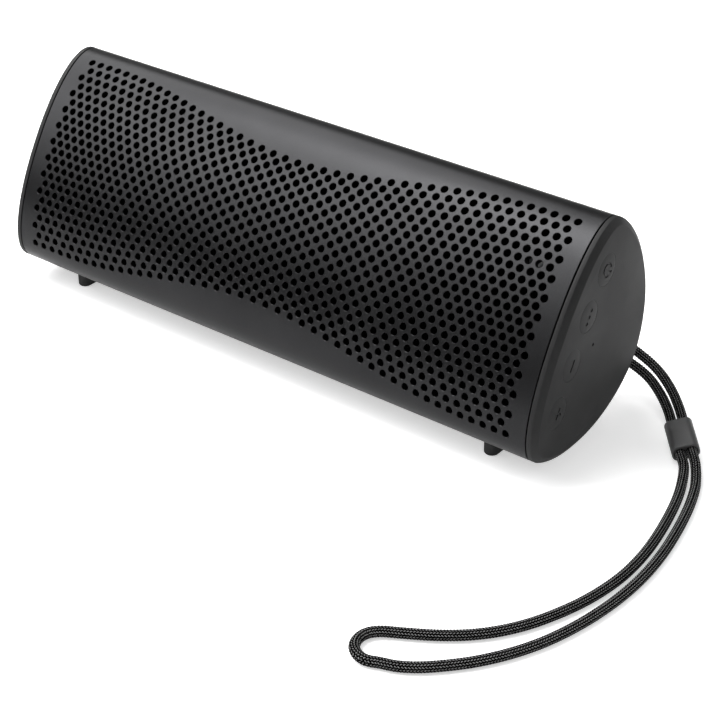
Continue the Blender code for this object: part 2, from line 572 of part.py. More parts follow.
def smooth_line(points, spacing):
    """Points about one spacing apart on the centripetal Catmull-Rom curve through the route's points."""
    knots = [2 * points[0] - points[1]] + points + [2 * points[-1] - points[-2]]
    fine = []
    for p0, p1, p2, p3 in zip(knots, knots[1:], knots[2:], knots[3:]):
        t0 = 0.0
        t1 = t0 + math.sqrt((p1 - p0).length)
        t2 = t1 + math.sqrt((p2 - p1).length)
        t3 = t2 + math.sqrt((p3 - p2).length)
        for k in range(12):
            t = t1 + (t2 - t1) * k / 12
            a1 = (p0 * (t1 - t) + p1 * (t - t0)) / (t1 - t0)
            a2 = (p1 * (t2 - t) + p2 * (t - t1)) / (t2 - t1)
            a3 = (p2 * (t3 - t) + p3 * (t - t2)) / (t3 - t2)
            b1 = (a1 * (t2 - t) + a2 * (t - t0)) / (t2 - t0)
            b2 = (a2 * (t3 - t) + a3 * (t - t1)) / (t3 - t1)
            fine.append((b1 * (t2 - t) + b2 * (t - t1)) / (t2 - t1))
    fine.append(points[-1])
    fine = np.array([tuple(p) for p in fine])
    fine[:, 2] = np.maximum(fine[:, 2], CORD_REST_Z)
    along = np.concatenate([[0.0], np.cumsum(np.linalg.norm(np.diff(fine, axis=0), axis=1))])
    count = int(round(along[-1] / spacing))
    wanted = np.linspace(0.0, along[-1], count + 1)
    return [tuple(np.interp(wanted, along, fine[:, axis])[k] for axis in range(3)) for k in range(count + 1)]


def strap_cord():
    line = smooth_line(route(), 0.0070)
    curve = bpy.data.curves.new("strap_cord", "CURVE")
    curve.dimensions = "3D"
    curve.bevel_depth = CORD_RADIUS
    curve.bevel_resolution = 2
    curve.use_fill_caps = True
    spline = curve.splines.new("POLY")
    spline.points.add(len(line) - 1)
    for point, co in zip(spline.points, line):
        point.co = (*co, 1)
    place(bpy.data.objects.new("strap_cord", curve), BRAID, parent=None)


def cord_bead():
    """The sliding bead: a rounded block with two joined bores, lying on both legs of the strap."""
    corner = 0.0019
    edge = []
    for sx, sy, start in ((1, 1, 0), (-1, 1, 90), (-1, -1, 180), (1, -1, 270)):
        for k in range(5):
            angle = math.radians(start + 22.5 * k)
            edge.append((sx * (BEAD_WIDTH / 2 - corner) + corner * math.cos(angle),
                         sy * (BEAD_THICKNESS / 2 - corner) + corner * math.sin(angle)))
    slot = racetrack(BEAD_BORE_SPACING + 2 * CORD_BORE_RADIUS, 2 * CORD_BORE_RADIUS, 24)
    bead = flat_shape("cord_bead", [edge, slot], BEAD_LENGTH)
    place(bead, RUBBER, at=BEAD_CENTRE, parent=None)
    up = BEAD_ALONG.cross(BEAD_ACROSS)
    bead.rotation_mode = "QUATERNION"
    bead.rotation_quaternion = Matrix((BEAD_ACROSS, up, BEAD_ALONG)).transposed().to_quaternion()


body_shell()
end_caps()
end_plates_and_seals()
feet()
buttons()
baffle()
grille_cloth()
main_driver()
tweeter()
battery()
electronics()
strap_anchor()
strap_cord()
cord_bead()
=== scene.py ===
"""Shower speaker: a perforated anodised tube with rubber end caps, standing on two rubber bars,
with a braided strap and its bead lying to the right. Metres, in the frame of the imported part.
"""
import math

import bmesh
import bpy
import numpy as np
from mathutils import Matrix, Vector


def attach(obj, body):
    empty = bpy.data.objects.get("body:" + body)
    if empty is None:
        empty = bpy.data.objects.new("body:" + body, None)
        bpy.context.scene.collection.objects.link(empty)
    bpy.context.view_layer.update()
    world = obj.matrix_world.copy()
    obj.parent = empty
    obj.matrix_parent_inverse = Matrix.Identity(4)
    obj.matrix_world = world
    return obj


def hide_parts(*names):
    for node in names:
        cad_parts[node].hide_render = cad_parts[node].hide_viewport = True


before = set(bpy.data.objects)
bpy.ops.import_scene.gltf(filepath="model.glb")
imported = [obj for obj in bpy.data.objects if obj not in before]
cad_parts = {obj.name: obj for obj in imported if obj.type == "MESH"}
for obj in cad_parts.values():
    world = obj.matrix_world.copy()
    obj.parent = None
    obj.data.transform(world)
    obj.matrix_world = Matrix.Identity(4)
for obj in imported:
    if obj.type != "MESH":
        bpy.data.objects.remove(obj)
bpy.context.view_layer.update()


# ================================================================ table, light and camera
# The speaker stands on a wide white table under a large softbox and a smaller one closer in, with
# a weak box on either side. The camera looks down at its right front corner through a long lens.

CAMERA_PLACE = (0.34597, -0.41465, 0.31342)
CAMERA_AIM = (0.02565, -0.00672, 0.00446)
CAMERA_LENS = 95.3
ROOM_LIGHT = 0.28
TABLE_HALF_WIDTH = 30.0
TABLE_GLOW, TABLE_GLOW_SEEN = 0.14, 0.38


def plain_object(name, data):
    """An object at the origin, linked to the scene."""
    made = bpy.data.objects.new(name, data)
    bpy.context.scene.collection.objects.link(made)
    return made


def aimed(thing, place, aim):
    """Put a camera or a lamp at a place, looking at a point."""
    thing.location = place
    thing.rotation_euler = (Vector(aim) - Vector(place)).to_track_quat("-Z", "Y").to_euler()
    return thing


def softbox(name, place, aim, width, height, power):
    """A rectangular white lamp, its sides in metres and its power in watts."""
    lamp = bpy.data.lights.new(name, "AREA")
    lamp.shape = "RECTANGLE"
    lamp.size = width
    lamp.size_y = height
    lamp.energy = power
    return aimed(plain_object(name, lamp), place, aim)


def add_node(tree, kind, inputs=None, **settings):
    """A node with its settings; its inputs are given as values or as other nodes' sockets."""
    made = tree.nodes.new(kind)
    for key, value in settings.items():
        setattr(made, key, value)
    for key, value in (inputs or {}).items():
        if isinstance(value, bpy.types.NodeSocket):
            tree.links.new(value, made.inputs[key])
        else:
            made.inputs[key].default_value = value
    return made


def new_finish(name):
    """A material with its tree and its Principled shader."""
    made = bpy.data.materials.new(name)
    made.use_nodes = True
    tree = made.node_tree
    return made, tree, tree.nodes["Principled BSDF"]


camera_data = bpy.data.cameras.new("camera")
camera_data.lens = CAMERA_LENS
camera_data.sensor_width = 36.0
camera_data.clip_start = 0.01
bpy.context.scene.camera = aimed(plain_object("camera", camera_data), CAMERA_PLACE, CAMERA_AIM)

softbox("overhead_softbox", (-0.92, -0.22, 1.25), (0.0, 0.0, 0.03), 2.2, 1.1, 28.0)
softbox("near_softbox", (-0.34, -0.22, 1.25), (0.05, 0.0, 0.03), 0.5, 0.9, 10.0)
softbox("left_softbox", (-1.15, -0.95, 0.85), (0.0, 0.0, 0.03), 0.7, 0.7, 4.6)
softbox("right_softbox", (1.10, 0.95, 0.75), (0.10, 0.0, 0.03), 0.9, 0.9, 4.2)

room = bpy.data.worlds.new("room")
room.use_nodes = True
room.node_tree.nodes["Background"].inputs["Color"].default_value = (1, 1, 1, 1)
room.node_tree.nodes["Background"].inputs["Strength"].default_value = ROOM_LIGHT
bpy.context.scene.world = room
bpy.context.scene.view_settings.view_transform = "Standard"

# The table glows a little, more to the eye than to the speaker, so that shadows on it stay light
table_finish, tree, shader = new_finish("table_white")
grain = add_node(tree, "ShaderNodeTexNoise", {"Scale": 60.0, "Detail": 3.0})
tone = add_node(tree, "ShaderNodeValToRGB", {"Fac": grain.outputs["Fac"]})
tone.color_ramp.elements[0].color = (0.86, 0.86, 0.86, 1)
tone.color_ramp.elements[1].color = (0.88, 0.88, 0.88, 1)
tree.links.new(tone.outputs["Color"], shader.inputs["Base Color"])
shader.inputs["Roughness"].default_value = 0.9
shader.inputs["Specular IOR Level"].default_value = 0.1
shader.inputs["Emission Color"].default_value = (1, 1, 1, 1)
seen = add_node(tree, "ShaderNodeLightPath").outputs["Is Camera Ray"]
glow = add_node(tree, "ShaderNodeMath", {0: seen, 1: TABLE_GLOW_SEEN, 2: TABLE_GLOW},
                operation="MULTIPLY_ADD")
tree.links.new(glow.outputs[0], shader.inputs["Emission Strength"])
bench = bmesh.new()
bmesh.ops.create_grid(bench, x_segments=2, y_segments=2, size=TABLE_HALF_WIDTH)
table_mesh = bpy.data.meshes.new("table")
bench.to_mesh(table_mesh)
bench.free()
table_mesh.materials.append(table_finish)
plain_object("table", table_mesh)


# ================================================================ strap
# A round polyester cord, braided from twelve black yarns over a core. It leaves the anchor in the
# back wall, passes down through the bead, lies in one long loop and goes back into the anchor.

STRAP_STEP, CORE_STEP = 0.0015, 0.0016
YARN_PITCH = 0.0051
YARNS_EACH_WAY = 6
STEPS_PER_TURN = 24
BODY_LEAN = math.radians(30.8)
BODY_AXIS_Y, BODY_AXIS_Z = -0.00672, 0.04005
ANCHOR_X, BORE_Z = 0.0935, 0.0022
BEAD_CENTRE = Vector((0.1290, 0.0160, 0.0047))
BEAD_ALONG = Vector((0.6475, -0.7554, -0.1007)).normalized()
BEAD_ROLL = math.radians(16)
LEG_SPACING = 0.0034
STRAP_REST_Z = 0.0016
LOOP_CENTRE, LOOP_RADIUS = (0.1147, -0.1125), 0.0062


def leaned_point(x, y, z):
    """A point of the body's own upright frame (y back, z up) in the world."""
    across = y * math.cos(BODY_LEAN) + z * math.sin(BODY_LEAN)
    up = -y * math.sin(BODY_LEAN) + z * math.cos(BODY_LEAN)
    return Vector((x, BODY_AXIS_Y + across, BODY_AXIS_Z + up))


level_across = Vector((-BEAD_ALONG.y, BEAD_ALONG.x, 0)).normalized()
bead_up = BEAD_ALONG.cross(level_across)
if bead_up.z < 0:
    level_across.negate()
    bead_up.negate()
BEAD_ACROSS = level_across * math.cos(BEAD_ROLL)
BEAD_ACROSS += bead_up * math.sin(BEAD_ROLL) * (1 if level_across.x > 0 else -1)

out_of_lower_bore = [leaned_point(ANCHOR_X, y, -BORE_Z) for y in (0.0348, 0.0375, 0.0405)]
into_upper_bore = [leaned_point(ANCHOR_X, y, BORE_Z) for y in (0.0410, 0.0375, 0.0348)]
fall_to_bead = [Vector(p) for p in ((0.0953, 0.0312, 0.0144), (0.0999, 0.0343, 0.0114),
                                    (0.1060, 0.0344, 0.0088), (0.1128, 0.0307, 0.0069))]
rise_from_bead = [Vector(p) for p in ((0.1150, 0.0330, 0.0084), (0.1076, 0.0369, 0.0109),
                                      (0.1006, 0.0370, 0.0142), (0.0956, 0.0338, 0.0182))]
through_bead = [BEAD_CENTRE + BEAD_ALONG * t for t in (-0.0140, -0.0070, 0.0, 0.0070, 0.0125)]
outward_leg = [
    (0.1394, -0.0022), (0.1418, -0.0090), (0.1440, -0.0170), (0.1458, -0.0250),
    (0.1472, -0.0330), (0.1480, -0.0410), (0.1481, -0.0490), (0.1473, -0.0570),
    (0.1457, -0.0650), (0.1432, -0.0730), (0.1398, -0.0810), (0.1352, -0.0885),
    (0.1294, -0.0950), (0.1228, -0.1002), (0.1164, -0.1042)]
loop_end = [(LOOP_CENTRE[0] + LOOP_RADIUS * math.cos(math.radians(a)),
             LOOP_CENTRE[1] + LOOP_RADIUS * math.sin(math.radians(a)))
            for a in (128, 158, 188, 218, 248, 278, 308)]
homeward_leg = [
    (0.1232, -0.1156), (0.1280, -0.1123), (0.1326, -0.1078), (0.1373, -0.1023),
    (0.1422, -0.0948), (0.1464, -0.0860), (0.1494, -0.0765), (0.1515, -0.0660),
    (0.1526, -0.0550), (0.1526, -0.0445), (0.1516, -0.0340), (0.1499, -0.0245),
    (0.1477, -0.0150), (0.1451, -0.0062), (0.1420, 0.0017)]
half_spacing = BEAD_ACROSS * LEG_SPACING / 2
strap_route = out_of_lower_bore + fall_to_bead + [p - half_spacing for p in through_bead]
strap_route += [Vector((x, y, STRAP_REST_Z)) for x, y in outward_leg + loop_end + homeward_leg]
strap_route += [p + half_spacing for p in reversed(through_bead)] + rise_from_bead
strap_route += into_upper_bore


def strap_line(points, spacing):
    """Even points on the smooth curve through the route, never below the lying cord's middle."""
    knots = [2 * points[0] - points[1]] + points + [2 * points[-1] - points[-2]]
    fine = []
    for p0, p1, p2, p3 in zip(knots, knots[1:], knots[2:], knots[3:]):
        t0 = 0.0
        t1 = t0 + math.sqrt((p1 - p0).length)
        t2 = t1 + math.sqrt((p2 - p1).length)
        t3 = t2 + math.sqrt((p3 - p2).length)
        for k in range(12):
            t = t1 + (t2 - t1) * k / 12
            a1 = (p0 * (t1 - t) + p1 * (t - t0)) / (t1 - t0)
            a2 = (p1 * (t2 - t) + p2 * (t - t1)) / (t2 - t1)
            a3 = (p2 * (t3 - t) + p3 * (t - t2)) / (t3 - t2)
            b1 = (a1 * (t2 - t) + a2 * (t - t0)) / (t2 - t0)
            b2 = (a2 * (t3 - t) + a3 * (t - t1)) / (t3 - t1)
            fine.append((b1 * (t2 - t) + b2 * (t - t1)) / (t2 - t1))
    fine.append(points[-1])
    fine = np.array([tuple(p) for p in fine])
    fine[:, 2] = np.maximum(fine[:, 2], STRAP_REST_Z)
    steps = np.linalg.norm(np.diff(fine, axis=0), axis=1)
    along = np.concatenate([[0.0], np.cumsum(steps)])
    wanted = np.linspace(0.0, along[-1], int(round(along[-1] / spacing)) + 1)
    even = [np.interp(wanted, along, fine[:, axis]) for axis in range(3)]
    return np.stack(even, axis=1), float(along[-1])


def node_tree(name, sockets):
    """A Geometry Nodes tree with named inputs, given as (name, kind, value)."""
    made = bpy.data.node_groups.new(name, "GeometryNodeTree")
    made.interface.new_socket("Geometry", in_out="OUTPUT", socket_type="NodeSocketGeometry")
    made.interface.new_socket("Geometry", in_out="INPUT", socket_type="NodeSocketGeometry")
    for label, kind, value in sockets:
        socket = made.interface.new_socket(label, in_out="INPUT", socket_type="NodeSocket" + kind)
        if value is not None:
            socket.default_value = value
    given = made.nodes.new("NodeGroupInput").outputs
    return made, given, made.nodes.new("NodeGroupOutput").inputs


def end_tree(tree, geometry, given, result):
    """Make a tree's instances real, give them its finish and put them out."""
    real = add_node(tree, "GeometryNodeRealizeInstances", {"Geometry": geometry})
    painted = add_node(tree, "GeometryNodeSetMaterial",
                       {"Geometry": real.outputs[0], "Material": given["Finish"]})
    tree.links.new(painted.outputs[0], result["Geometry"])


def grown(base, made, values):
    """The mesh that a tree grows from an object, with some inputs set, as a new object."""
    step = base.modifiers.new(made.name, "NODES")
    step.node_group = made
    for item in made.interface.items_tree:
        if item.in_out == "INPUT" and item.name in values:
            step[item.identifier] = values[item.name]
    bpy.context.view_layer.update()
    evaluated = base.evaluated_get(bpy.context.evaluated_depsgraph_get())
    mesh = bpy.data.meshes.new_from_object(evaluated)
    name = base.name
    bpy.data.objects.remove(base, do_unlink=True)
    mesh.name = name
    return plain_object(name, mesh)


def number(tree, operation, *values):
    """A Math node's result."""
    return add_node(tree, "ShaderNodeMath", dict(enumerate(values)), operation=operation).outputs[0]


def vector(tree, operation, *values, scale=None):
    """A Vector Math node's result."""
    made = add_node(tree, "ShaderNodeVectorMath", dict(enumerate(values)), operation=operation)
    if scale is not None:
        tree.links.new(scale, made.inputs["Scale"])
    return made.outputs[0]


def keep_value(tree, geometry, name, value, kind="FLOAT"):
    """Keep a value on the points of a geometry, under a name."""
    return add_node(tree, "GeometryNodeStoreNamedAttribute",
                    {"Geometry": geometry, "Name": name, "Value": value},
                    data_type=kind, domain="POINT").outputs[0]


def kept_value(tree, name, kind="FLOAT"):
    """The value that points keep under a name."""
    return add_node(tree, "GeometryNodeInputNamedAttribute", {"Name": name},
                    data_type=kind).outputs[0]


def embossed(tree, shader, height, strength, distance):
    """Raise a finish's surface by a height."""
    bump = add_node(tree, "ShaderNodeBump",
                    {"Strength": strength, "Distance": distance, "Height": height})
    tree.links.new(bump.outputs["Normal"], shader.inputs["Normal"])


# Each yarn runs round the core in one of two directions and weaves over and under the others
braid, given, result = node_tree("braided_cord", [
    ("Yarns Each Way", "Int", YARNS_EACH_WAY), ("Turns", "Int", 84),
    ("Steps Per Turn", "Int", STEPS_PER_TURN), ("Middle Radius", "Float", 0.00134),
    ("Over And Under", "Float", 0.00010), ("Yarn Width", "Float", 0.00044),
    ("Yarn Rise", "Float", 0.00017), ("Core Radius", "Float", 0.00126),
    ("Finish", "Material", None)])
each_way = given["Yarns Each Way"]
steps = number(braid, "MULTIPLY_ADD", given["Turns"], given["Steps Per Turn"], 1.0)
line = add_node(braid, "GeometryNodeResampleCurve",
                {"Curve": given["Geometry"], "Count": steps}, mode="COUNT")
copies = number(braid, "MULTIPLY", each_way, 2.0)
yarns = add_node(braid, "GeometryNodeDuplicateElements",
                 {"Geometry": line.outputs[0], "Amount": copies}, domain="SPLINE")
index = yarns.outputs["Duplicate Index"]
first_way = number(braid, "LESS_THAN", index, each_way)
way = number(braid, "SUBTRACT", number(braid, "MULTIPLY", first_way, 2.0), 1.0)
how_far_along = add_node(braid, "GeometryNodeSplineParameter").outputs["Factor"]
turns = number(braid, "MULTIPLY", how_far_along, given["Turns"])
start = number(braid, "DIVIDE", number(braid, "FLOORED_MODULO", index, each_way), each_way)
angle = number(braid, "MULTIPLY", number(braid, "MULTIPLY_ADD", turns, way, start), 2 * math.pi)
crossings = number(braid, "MULTIPLY", turns, each_way)
wave = number(braid, "COSINE", number(braid, "MULTIPLY", crossings, 2 * math.pi))
over = number(braid, "MULTIPLY", wave, way)
lift = number(braid, "MULTIPLY", over, given["Over And Under"])
reach = number(braid, "ADD", given["Middle Radius"], lift)
# crest is highest where a yarn passes over the others; the yarn finish paints its highlights there
crest = number(braid, "POWER", number(braid, "MAXIMUM", over, 0.0), 2.0)
normal = add_node(braid, "GeometryNodeInputNormal").outputs["Normal"]
tangent = add_node(braid, "GeometryNodeInputTangent").outputs["Tangent"]
beside = vector(braid, "CROSS_PRODUCT", tangent, normal)
outward = vector(braid, "ADD",
                 vector(braid, "SCALE", normal, scale=number(braid, "COSINE", angle)),
                 vector(braid, "SCALE", beside, scale=number(braid, "SINE", angle)))
marked = keep_value(braid, yarns.outputs["Geometry"], "outward", outward, "FLOAT_VECTOR")
marked = keep_value(braid, marked, "reach", reach)
marked = keep_value(braid, marked, "crest", crest)
way_out = kept_value(braid, "outward", "FLOAT_VECTOR")
offset = vector(braid, "SCALE", way_out, scale=kept_value(braid, "reach"))
placed = add_node(braid, "GeometryNodeSetPosition", {"Geometry": marked, "Offset": offset})
turned = add_node(braid, "GeometryNodeSetCurveNormal",
                  {"Curve": placed.outputs[0], "Normal": way_out}, mode="FREE")
yarn_outline = add_node(braid, "GeometryNodeCurvePrimitiveCircle",
                        {"Resolution": 3, "Radius": 1.0}, mode="RADIUS")
yarn_size = add_node(braid, "ShaderNodeCombineXYZ",
                     {"X": given["Yarn Rise"], "Y": given["Yarn Width"], "Z": 1.0})
flat_yarn = add_node(braid, "GeometryNodeTransform", {
    "Geometry": yarn_outline.outputs["Curve"], "Scale": yarn_size.outputs[0]})
woven = add_node(braid, "GeometryNodeCurveToMesh", {
    "Curve": turned.outputs[0], "Profile Curve": flat_yarn.outputs[0], "Fill Caps": True})
core_line = add_node(braid, "GeometryNodeResampleCurve",
                     {"Curve": given["Geometry"], "Length": CORE_STEP}, mode="LENGTH")
core_outline = add_node(braid, "GeometryNodeCurvePrimitiveCircle",
                        {"Resolution": 10, "Radius": given["Core Radius"]}, mode="RADIUS")
core = add_node(braid, "GeometryNodeCurveToMesh", {
    "Curve": core_line.outputs[0], "Profile Curve": core_outline.outputs["Curve"],
    "Fill Caps": True})
both = add_node(braid, "GeometryNodeJoinGeometry")
braid.links.new(woven.outputs[0], both.inputs[0])
braid.links.new(core.outputs[0], both.inputs[0])
smooth = add_node(braid, "GeometryNodeSetShadeSmooth",
                  {"Geometry": both.outputs[0], "Shade Smooth": True})
end_tree(braid, smooth.outputs[0], given, result)

# Painted highlights: pale glints are painted into the colour where a yarn passes over the others, in
# place of the yarn's own shine
yarn_finish, tree, shader = new_finish("black_braided_yarn")
place = add_node(tree, "ShaderNodeTexCoord").outputs["Object"]
crest = add_node(tree, "ShaderNodeAttribute", attribute_name="crest")
shade = add_node(tree, "ShaderNodeTexNoise", {"Vector": place, "Scale": 900.0, "Detail": 2.0})
uneven = add_node(tree, "ShaderNodeMapRange",
                  {"Value": shade.outputs["Fac"], "To Min": 0.8, "To Max": 1.2})
# The painted glint: pale colour at each crest, varied at random a little
painted_glint = add_node(tree, "ShaderNodeMath", {0: crest.outputs["Fac"], 1: uneven.outputs[0]},
                 operation="MULTIPLY")
tone = add_node(tree, "ShaderNodeValToRGB", {"Fac": painted_glint.outputs[0]})
tone.color_ramp.elements[0].position, tone.color_ramp.elements[1].position = 0.56, 1.0
tone.color_ramp.elements[0].color = (0.0010, 0.0010, 0.0010, 1)
tone.color_ramp.elements[1].color = (0.30, 0.30, 0.30, 1)
tree.links.new(tone.outputs["Color"], shader.inputs["Base Color"])
fibre = add_node(tree, "ShaderNodeTexNoise", {"Vector": place, "Scale": 6000.0, "Detail": 1.0})
embossed(tree, shader, fibre.outputs["Fac"], 0.35, 0.00005)
shader.inputs["Roughness"].default_value = 0.6
shader.inputs["Specular IOR Level"].default_value = 0.0

strap_points, strap_length = strap_line(strap_route, STRAP_STEP)
strap_curve = bpy.data.curves.new("strap", "CURVE")
strap_curve.dimensions = "3D"
spline = strap_curve.splines.new("POLY")
spline.points.add(len(strap_points) - 1)
spline.points.foreach_set("co", np.c_[strap_points, np.ones(len(strap_points))].ravel())
strap = grown(plain_object("strap", strap_curve), braid,
              {"Turns": round(strap_length / YARN_PITCH), "Finish": yarn_finish})
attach(strap, "case")
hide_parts("strap_cord")


# ================================================================ bead
# A sliding bead of dark satin silicone, moulded with two joined bores for the two legs of the
# strap. Its rims are rounded over.

BEAD_LENGTH, BEAD_WIDTH, BEAD_THICKNESS, BEAD_CORNER = 0.0130, 0.0084, 0.0054, 0.0019
BEAD_RIM, BORE_RIM_SHARE = 0.0005, 0.4
BORE_RADIUS = 0.00178
BEAD_POINTS = 72


def rounded_rectangle(width, height, corner, steps):
    """Outline of a rectangle with round corners, anticlockwise."""
    points = []
    for sx, sy, start in ((1, 1, 0), (-1, 1, 90), (-1, -1, 180), (1, -1, 270)):
        for k in range(steps + 1):
            turn = math.radians(start + 90 * k / steps)
            points.append((sx * (width / 2 - corner) + corner * math.cos(turn),
                           sy * (height / 2 - corner) + corner * math.sin(turn)))
    return points


def in_step(outline, count):
    """An outline given again as even points, starting where it crosses the first axis."""
    points = np.array(outline)
    turns = np.unwrap(np.arctan2(points[:, 1], points[:, 0]))
    points = points[np.argsort(np.mod(turns, 2 * math.pi))]
    looped = np.vstack([points, points[:1]])
    steps = np.linalg.norm(np.diff(looped, axis=0), axis=1)
    along = np.concatenate([[0.0], np.cumsum(steps)])
    wanted = np.linspace(0.0, along[-1], count, endpoint=False)
    return [(np.interp(w, along, looped[:, 0]), np.interp(w, along, looped[:, 1]))
            for w in wanted]


def round_over(radius, steps):
    """(inset, drop) pairs that round an edge over, from the side to the top."""
    turns = [math.radians(90 * k / steps) for k in range(steps + 1)]
    return [(radius * (1 - math.cos(t)), radius * (1 - math.sin(t))) for t in turns]


def loft(name, rings, around=False):
    """A skin over like rings of points, closed at its ends or led back to its first ring."""
    shape = bmesh.new()
    loops = [[shape.verts.new(p) for p in ring] for ring in rings]
    pairs = list(zip(loops, loops[1:])) + ([(loops[-1], loops[0])] if around else [])
    for first, second in pairs:
        for k in range(len(first)):
            shape.faces.new((first[k - 1], first[k], second[k], second[k - 1]))
    if not around:
        shape.faces.new(loops[0])
        shape.faces.new(loops[-1])
    bmesh.ops.recalc_face_normals(shape, faces=shape.faces)
    if shape.calc_volume(signed=True) < 0:
        bmesh.ops.reverse_faces(shape, faces=shape.faces)
    mesh = bpy.data.meshes.new(name)
    shape.to_mesh(mesh)
    shape.free()
    return mesh


def smoothed(mesh, crease):
    """Shade a mesh smooth up to a crease angle."""
    mesh.polygons.foreach_set("use_smooth", [True] * len(mesh.polygons))
    mesh.set_sharp_from_angle(angle=math.radians(crease))


def piece_of(name, mesh, finish, crease):
    """A linked piece, shaded smooth up to a crease angle."""
    smoothed(mesh, crease)
    mesh.materials.append(finish)
    return plain_object(name, mesh)


def surface_group(name, inputs, outputs):
    """A shader node group with named numbers in and out; Place is always a vector."""
    made = bpy.data.node_groups.new(name, "ShaderNodeTree")
    made.interface.new_socket("Place", in_out="INPUT", socket_type="NodeSocketVector")
    for label, value in inputs:
        socket = made.interface.new_socket(label, in_out="INPUT", socket_type="NodeSocketFloat")
        socket.default_value = value
    for label in outputs:
        made.interface.new_socket(label, in_out="OUTPUT", socket_type="NodeSocketFloat")
    given = made.nodes.new("NodeGroupInput").outputs
    return made, given, made.nodes.new("NodeGroupOutput").inputs


def patterned(name, pattern):
    """A finish with a surface group that is laid out in the piece's own coordinates."""
    made, tree, shader = new_finish(name)
    group = add_node(tree, "ShaderNodeGroup", node_tree=pattern)
    tree.links.new(add_node(tree, "ShaderNodeTexCoord").outputs["Object"], group.inputs["Place"])
    return made, tree, shader, group


def two_toned(tree, shader, mask, dark, light):
    """Take a finish's colour from dark to light with a mask."""
    mix = add_node(tree, "ShaderNodeMix", {"Factor": mask}, data_type="RGBA")
    mix.inputs[6].default_value = (*dark, 1)
    mix.inputs[7].default_value = (*light, 1)
    tree.links.new(mix.outputs[2], shader.inputs["Base Color"])


moulded_skin, given, result = surface_group(
    "moulded_skin", [("Grain", 2500.0), ("Rough Low", 0.5), ("Rough High", 0.6)],
    ["Tone", "Roughness", "Height"])
fine = add_node(moulded_skin, "ShaderNodeTexNoise",
                {"Vector": given["Place"], "Scale": given["Grain"], "Detail": 2.0})
broad = add_node(moulded_skin, "ShaderNodeTexNoise",
                 {"Vector": given["Place"], "Scale": 45.0, "Detail": 3.0})
tone = number(moulded_skin, "ADD", fine.outputs["Fac"], broad.outputs["Fac"])
spread = add_node(moulded_skin, "ShaderNodeMapRange",
                  {"Value": tone, "From Min": 0.7, "From Max": 1.3})
rough = add_node(moulded_skin, "ShaderNodeMapRange", {
    "Value": broad.outputs["Fac"], "From Min": 0.35, "From Max": 0.65,
    "To Min": given["Rough Low"], "To Max": given["Rough High"]})
moulded_skin.links.new(spread.outputs[0], result["Tone"])
moulded_skin.links.new(rough.outputs[0], result["Roughness"])
moulded_skin.links.new(fine.outputs["Fac"], result["Height"])


def skin(name, dark, light, rough_low, rough_high, grain=2500.0, relief=0.3, depth=0.00003,
         **constants):
    """A grained finish: two tones, a roughness that drifts, and a fine relief."""
    made, tree, shader, group = patterned(name, moulded_skin)
    group.inputs["Grain"].default_value = grain
    group.inputs["Rough Low"].default_value = rough_low
    group.inputs["Rough High"].default_value = rough_high
    two_toned(tree, shader, group.outputs["Tone"], dark, light)
    tree.links.new(group.outputs["Roughness"], shader.inputs["Roughness"])
    embossed(tree, shader, group.outputs["Height"], relief, depth)
    for label, value in constants.items():
        shader.inputs[label.replace("_", " ")].default_value = value
    return made


bead_rubber = skin("bead_silicone", (0.052, 0.052, 0.053), (0.068, 0.068, 0.069), 0.38, 0.46,
                   grain=3500.0)
bead_turn = Matrix((BEAD_ACROSS, BEAD_ALONG.cross(BEAD_ACROSS), BEAD_ALONG)).transposed()


def bead_ring(outline, height):
    """An outline across the bead, at a height along it."""
    return [BEAD_CENTRE + bead_turn @ Vector((a, b, height)) for a, b in outline]


def bead_outer(inset):
    """The bead's outside, moved inwards."""
    return in_step(rounded_rectangle(BEAD_WIDTH - 2 * inset, BEAD_THICKNESS - 2 * inset,
                                     BEAD_CORNER - inset, 12), BEAD_POINTS)


def bead_bore(outset):
    """The two joined bores, as two overlapping circles."""
    radius = BORE_RADIUS + outset
    points = []
    for k in range(360):
        turn = 2 * math.pi * k / 360
        a, b = math.cos(turn), math.sin(turn)
        reach = LEG_SPACING / 2 * abs(a)
        edge = reach + math.sqrt(max(radius ** 2 - (LEG_SPACING / 2 * b) ** 2, 0.0))
        points.append((edge * a, edge * b))
    return in_step(points, BEAD_POINTS)


half = BEAD_LENGTH / 2
outer_rim = round_over(BEAD_RIM, 3)
bore_rim = round_over(BORE_RIM_SHARE * BEAD_RIM, 3)
rings = [bead_ring(bead_outer(inset), drop - half) for inset, drop in reversed(outer_rim)]
rings += [bead_ring(bead_outer(inset), half - drop) for inset, drop in outer_rim]
rings += [bead_ring(bead_bore(inset), half - drop) for inset, drop in reversed(bore_rim)]
rings += [bead_ring(bead_bore(inset), drop - half) for inset, drop in bore_rim]
bead = piece_of("bead", loft("bead", rings, around=True), bead_rubber, 40)
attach(bead, "bead")
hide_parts("cord_bead")


# ================================================================ body shell
# One aluminium extrusion with a blunt front and a rounder back, drilled through its front with rows
# of round holes, bead blasted and anodised near-black. Four screw channels run along its inside.

BODY_DEPTHS, BODY_POWERS = (0.0137, 0.0376), (2.17, 1.80)
BODY_HALF_HEIGHT = 0.0372
SHELL_END_X, SHELL_EDGE, WALL = 0.1031, 0.00015, 0.0020
HOLE_RADIUS, HOLE_RIM, HOLE_DEPTH, HOLE_SIDES = 0.001175, 0.00014, 0.0032, 16
HOLE_ROWS = 11
HOLE_REACH_X, REACH_LOSS = 0.09710, 0.00072
SPREAD, SPREAD_LOSS = 0.2625, 0.1396
SECOND_SPREAD, SECOND_SPREAD_LOSS = 0.0408, 0.0106
MIDDLE_END_X = 0.0858
ROW_PITCH, MIDDLE_PITCH_LOSS, OUTER_ROW_SHIFT = 0.002840, 0.000806, 0.00152
CHANNEL_RADIUS, CHANNEL_LENGTH, CHANNEL_INSET = 0.0032, 0.1976, 0.0050
SCREW_BORE_RADIUS, SCREW_BORE_X = 0.0011, 0.0988
PORT_PLACE = (-0.070, 0.034, 0.012)


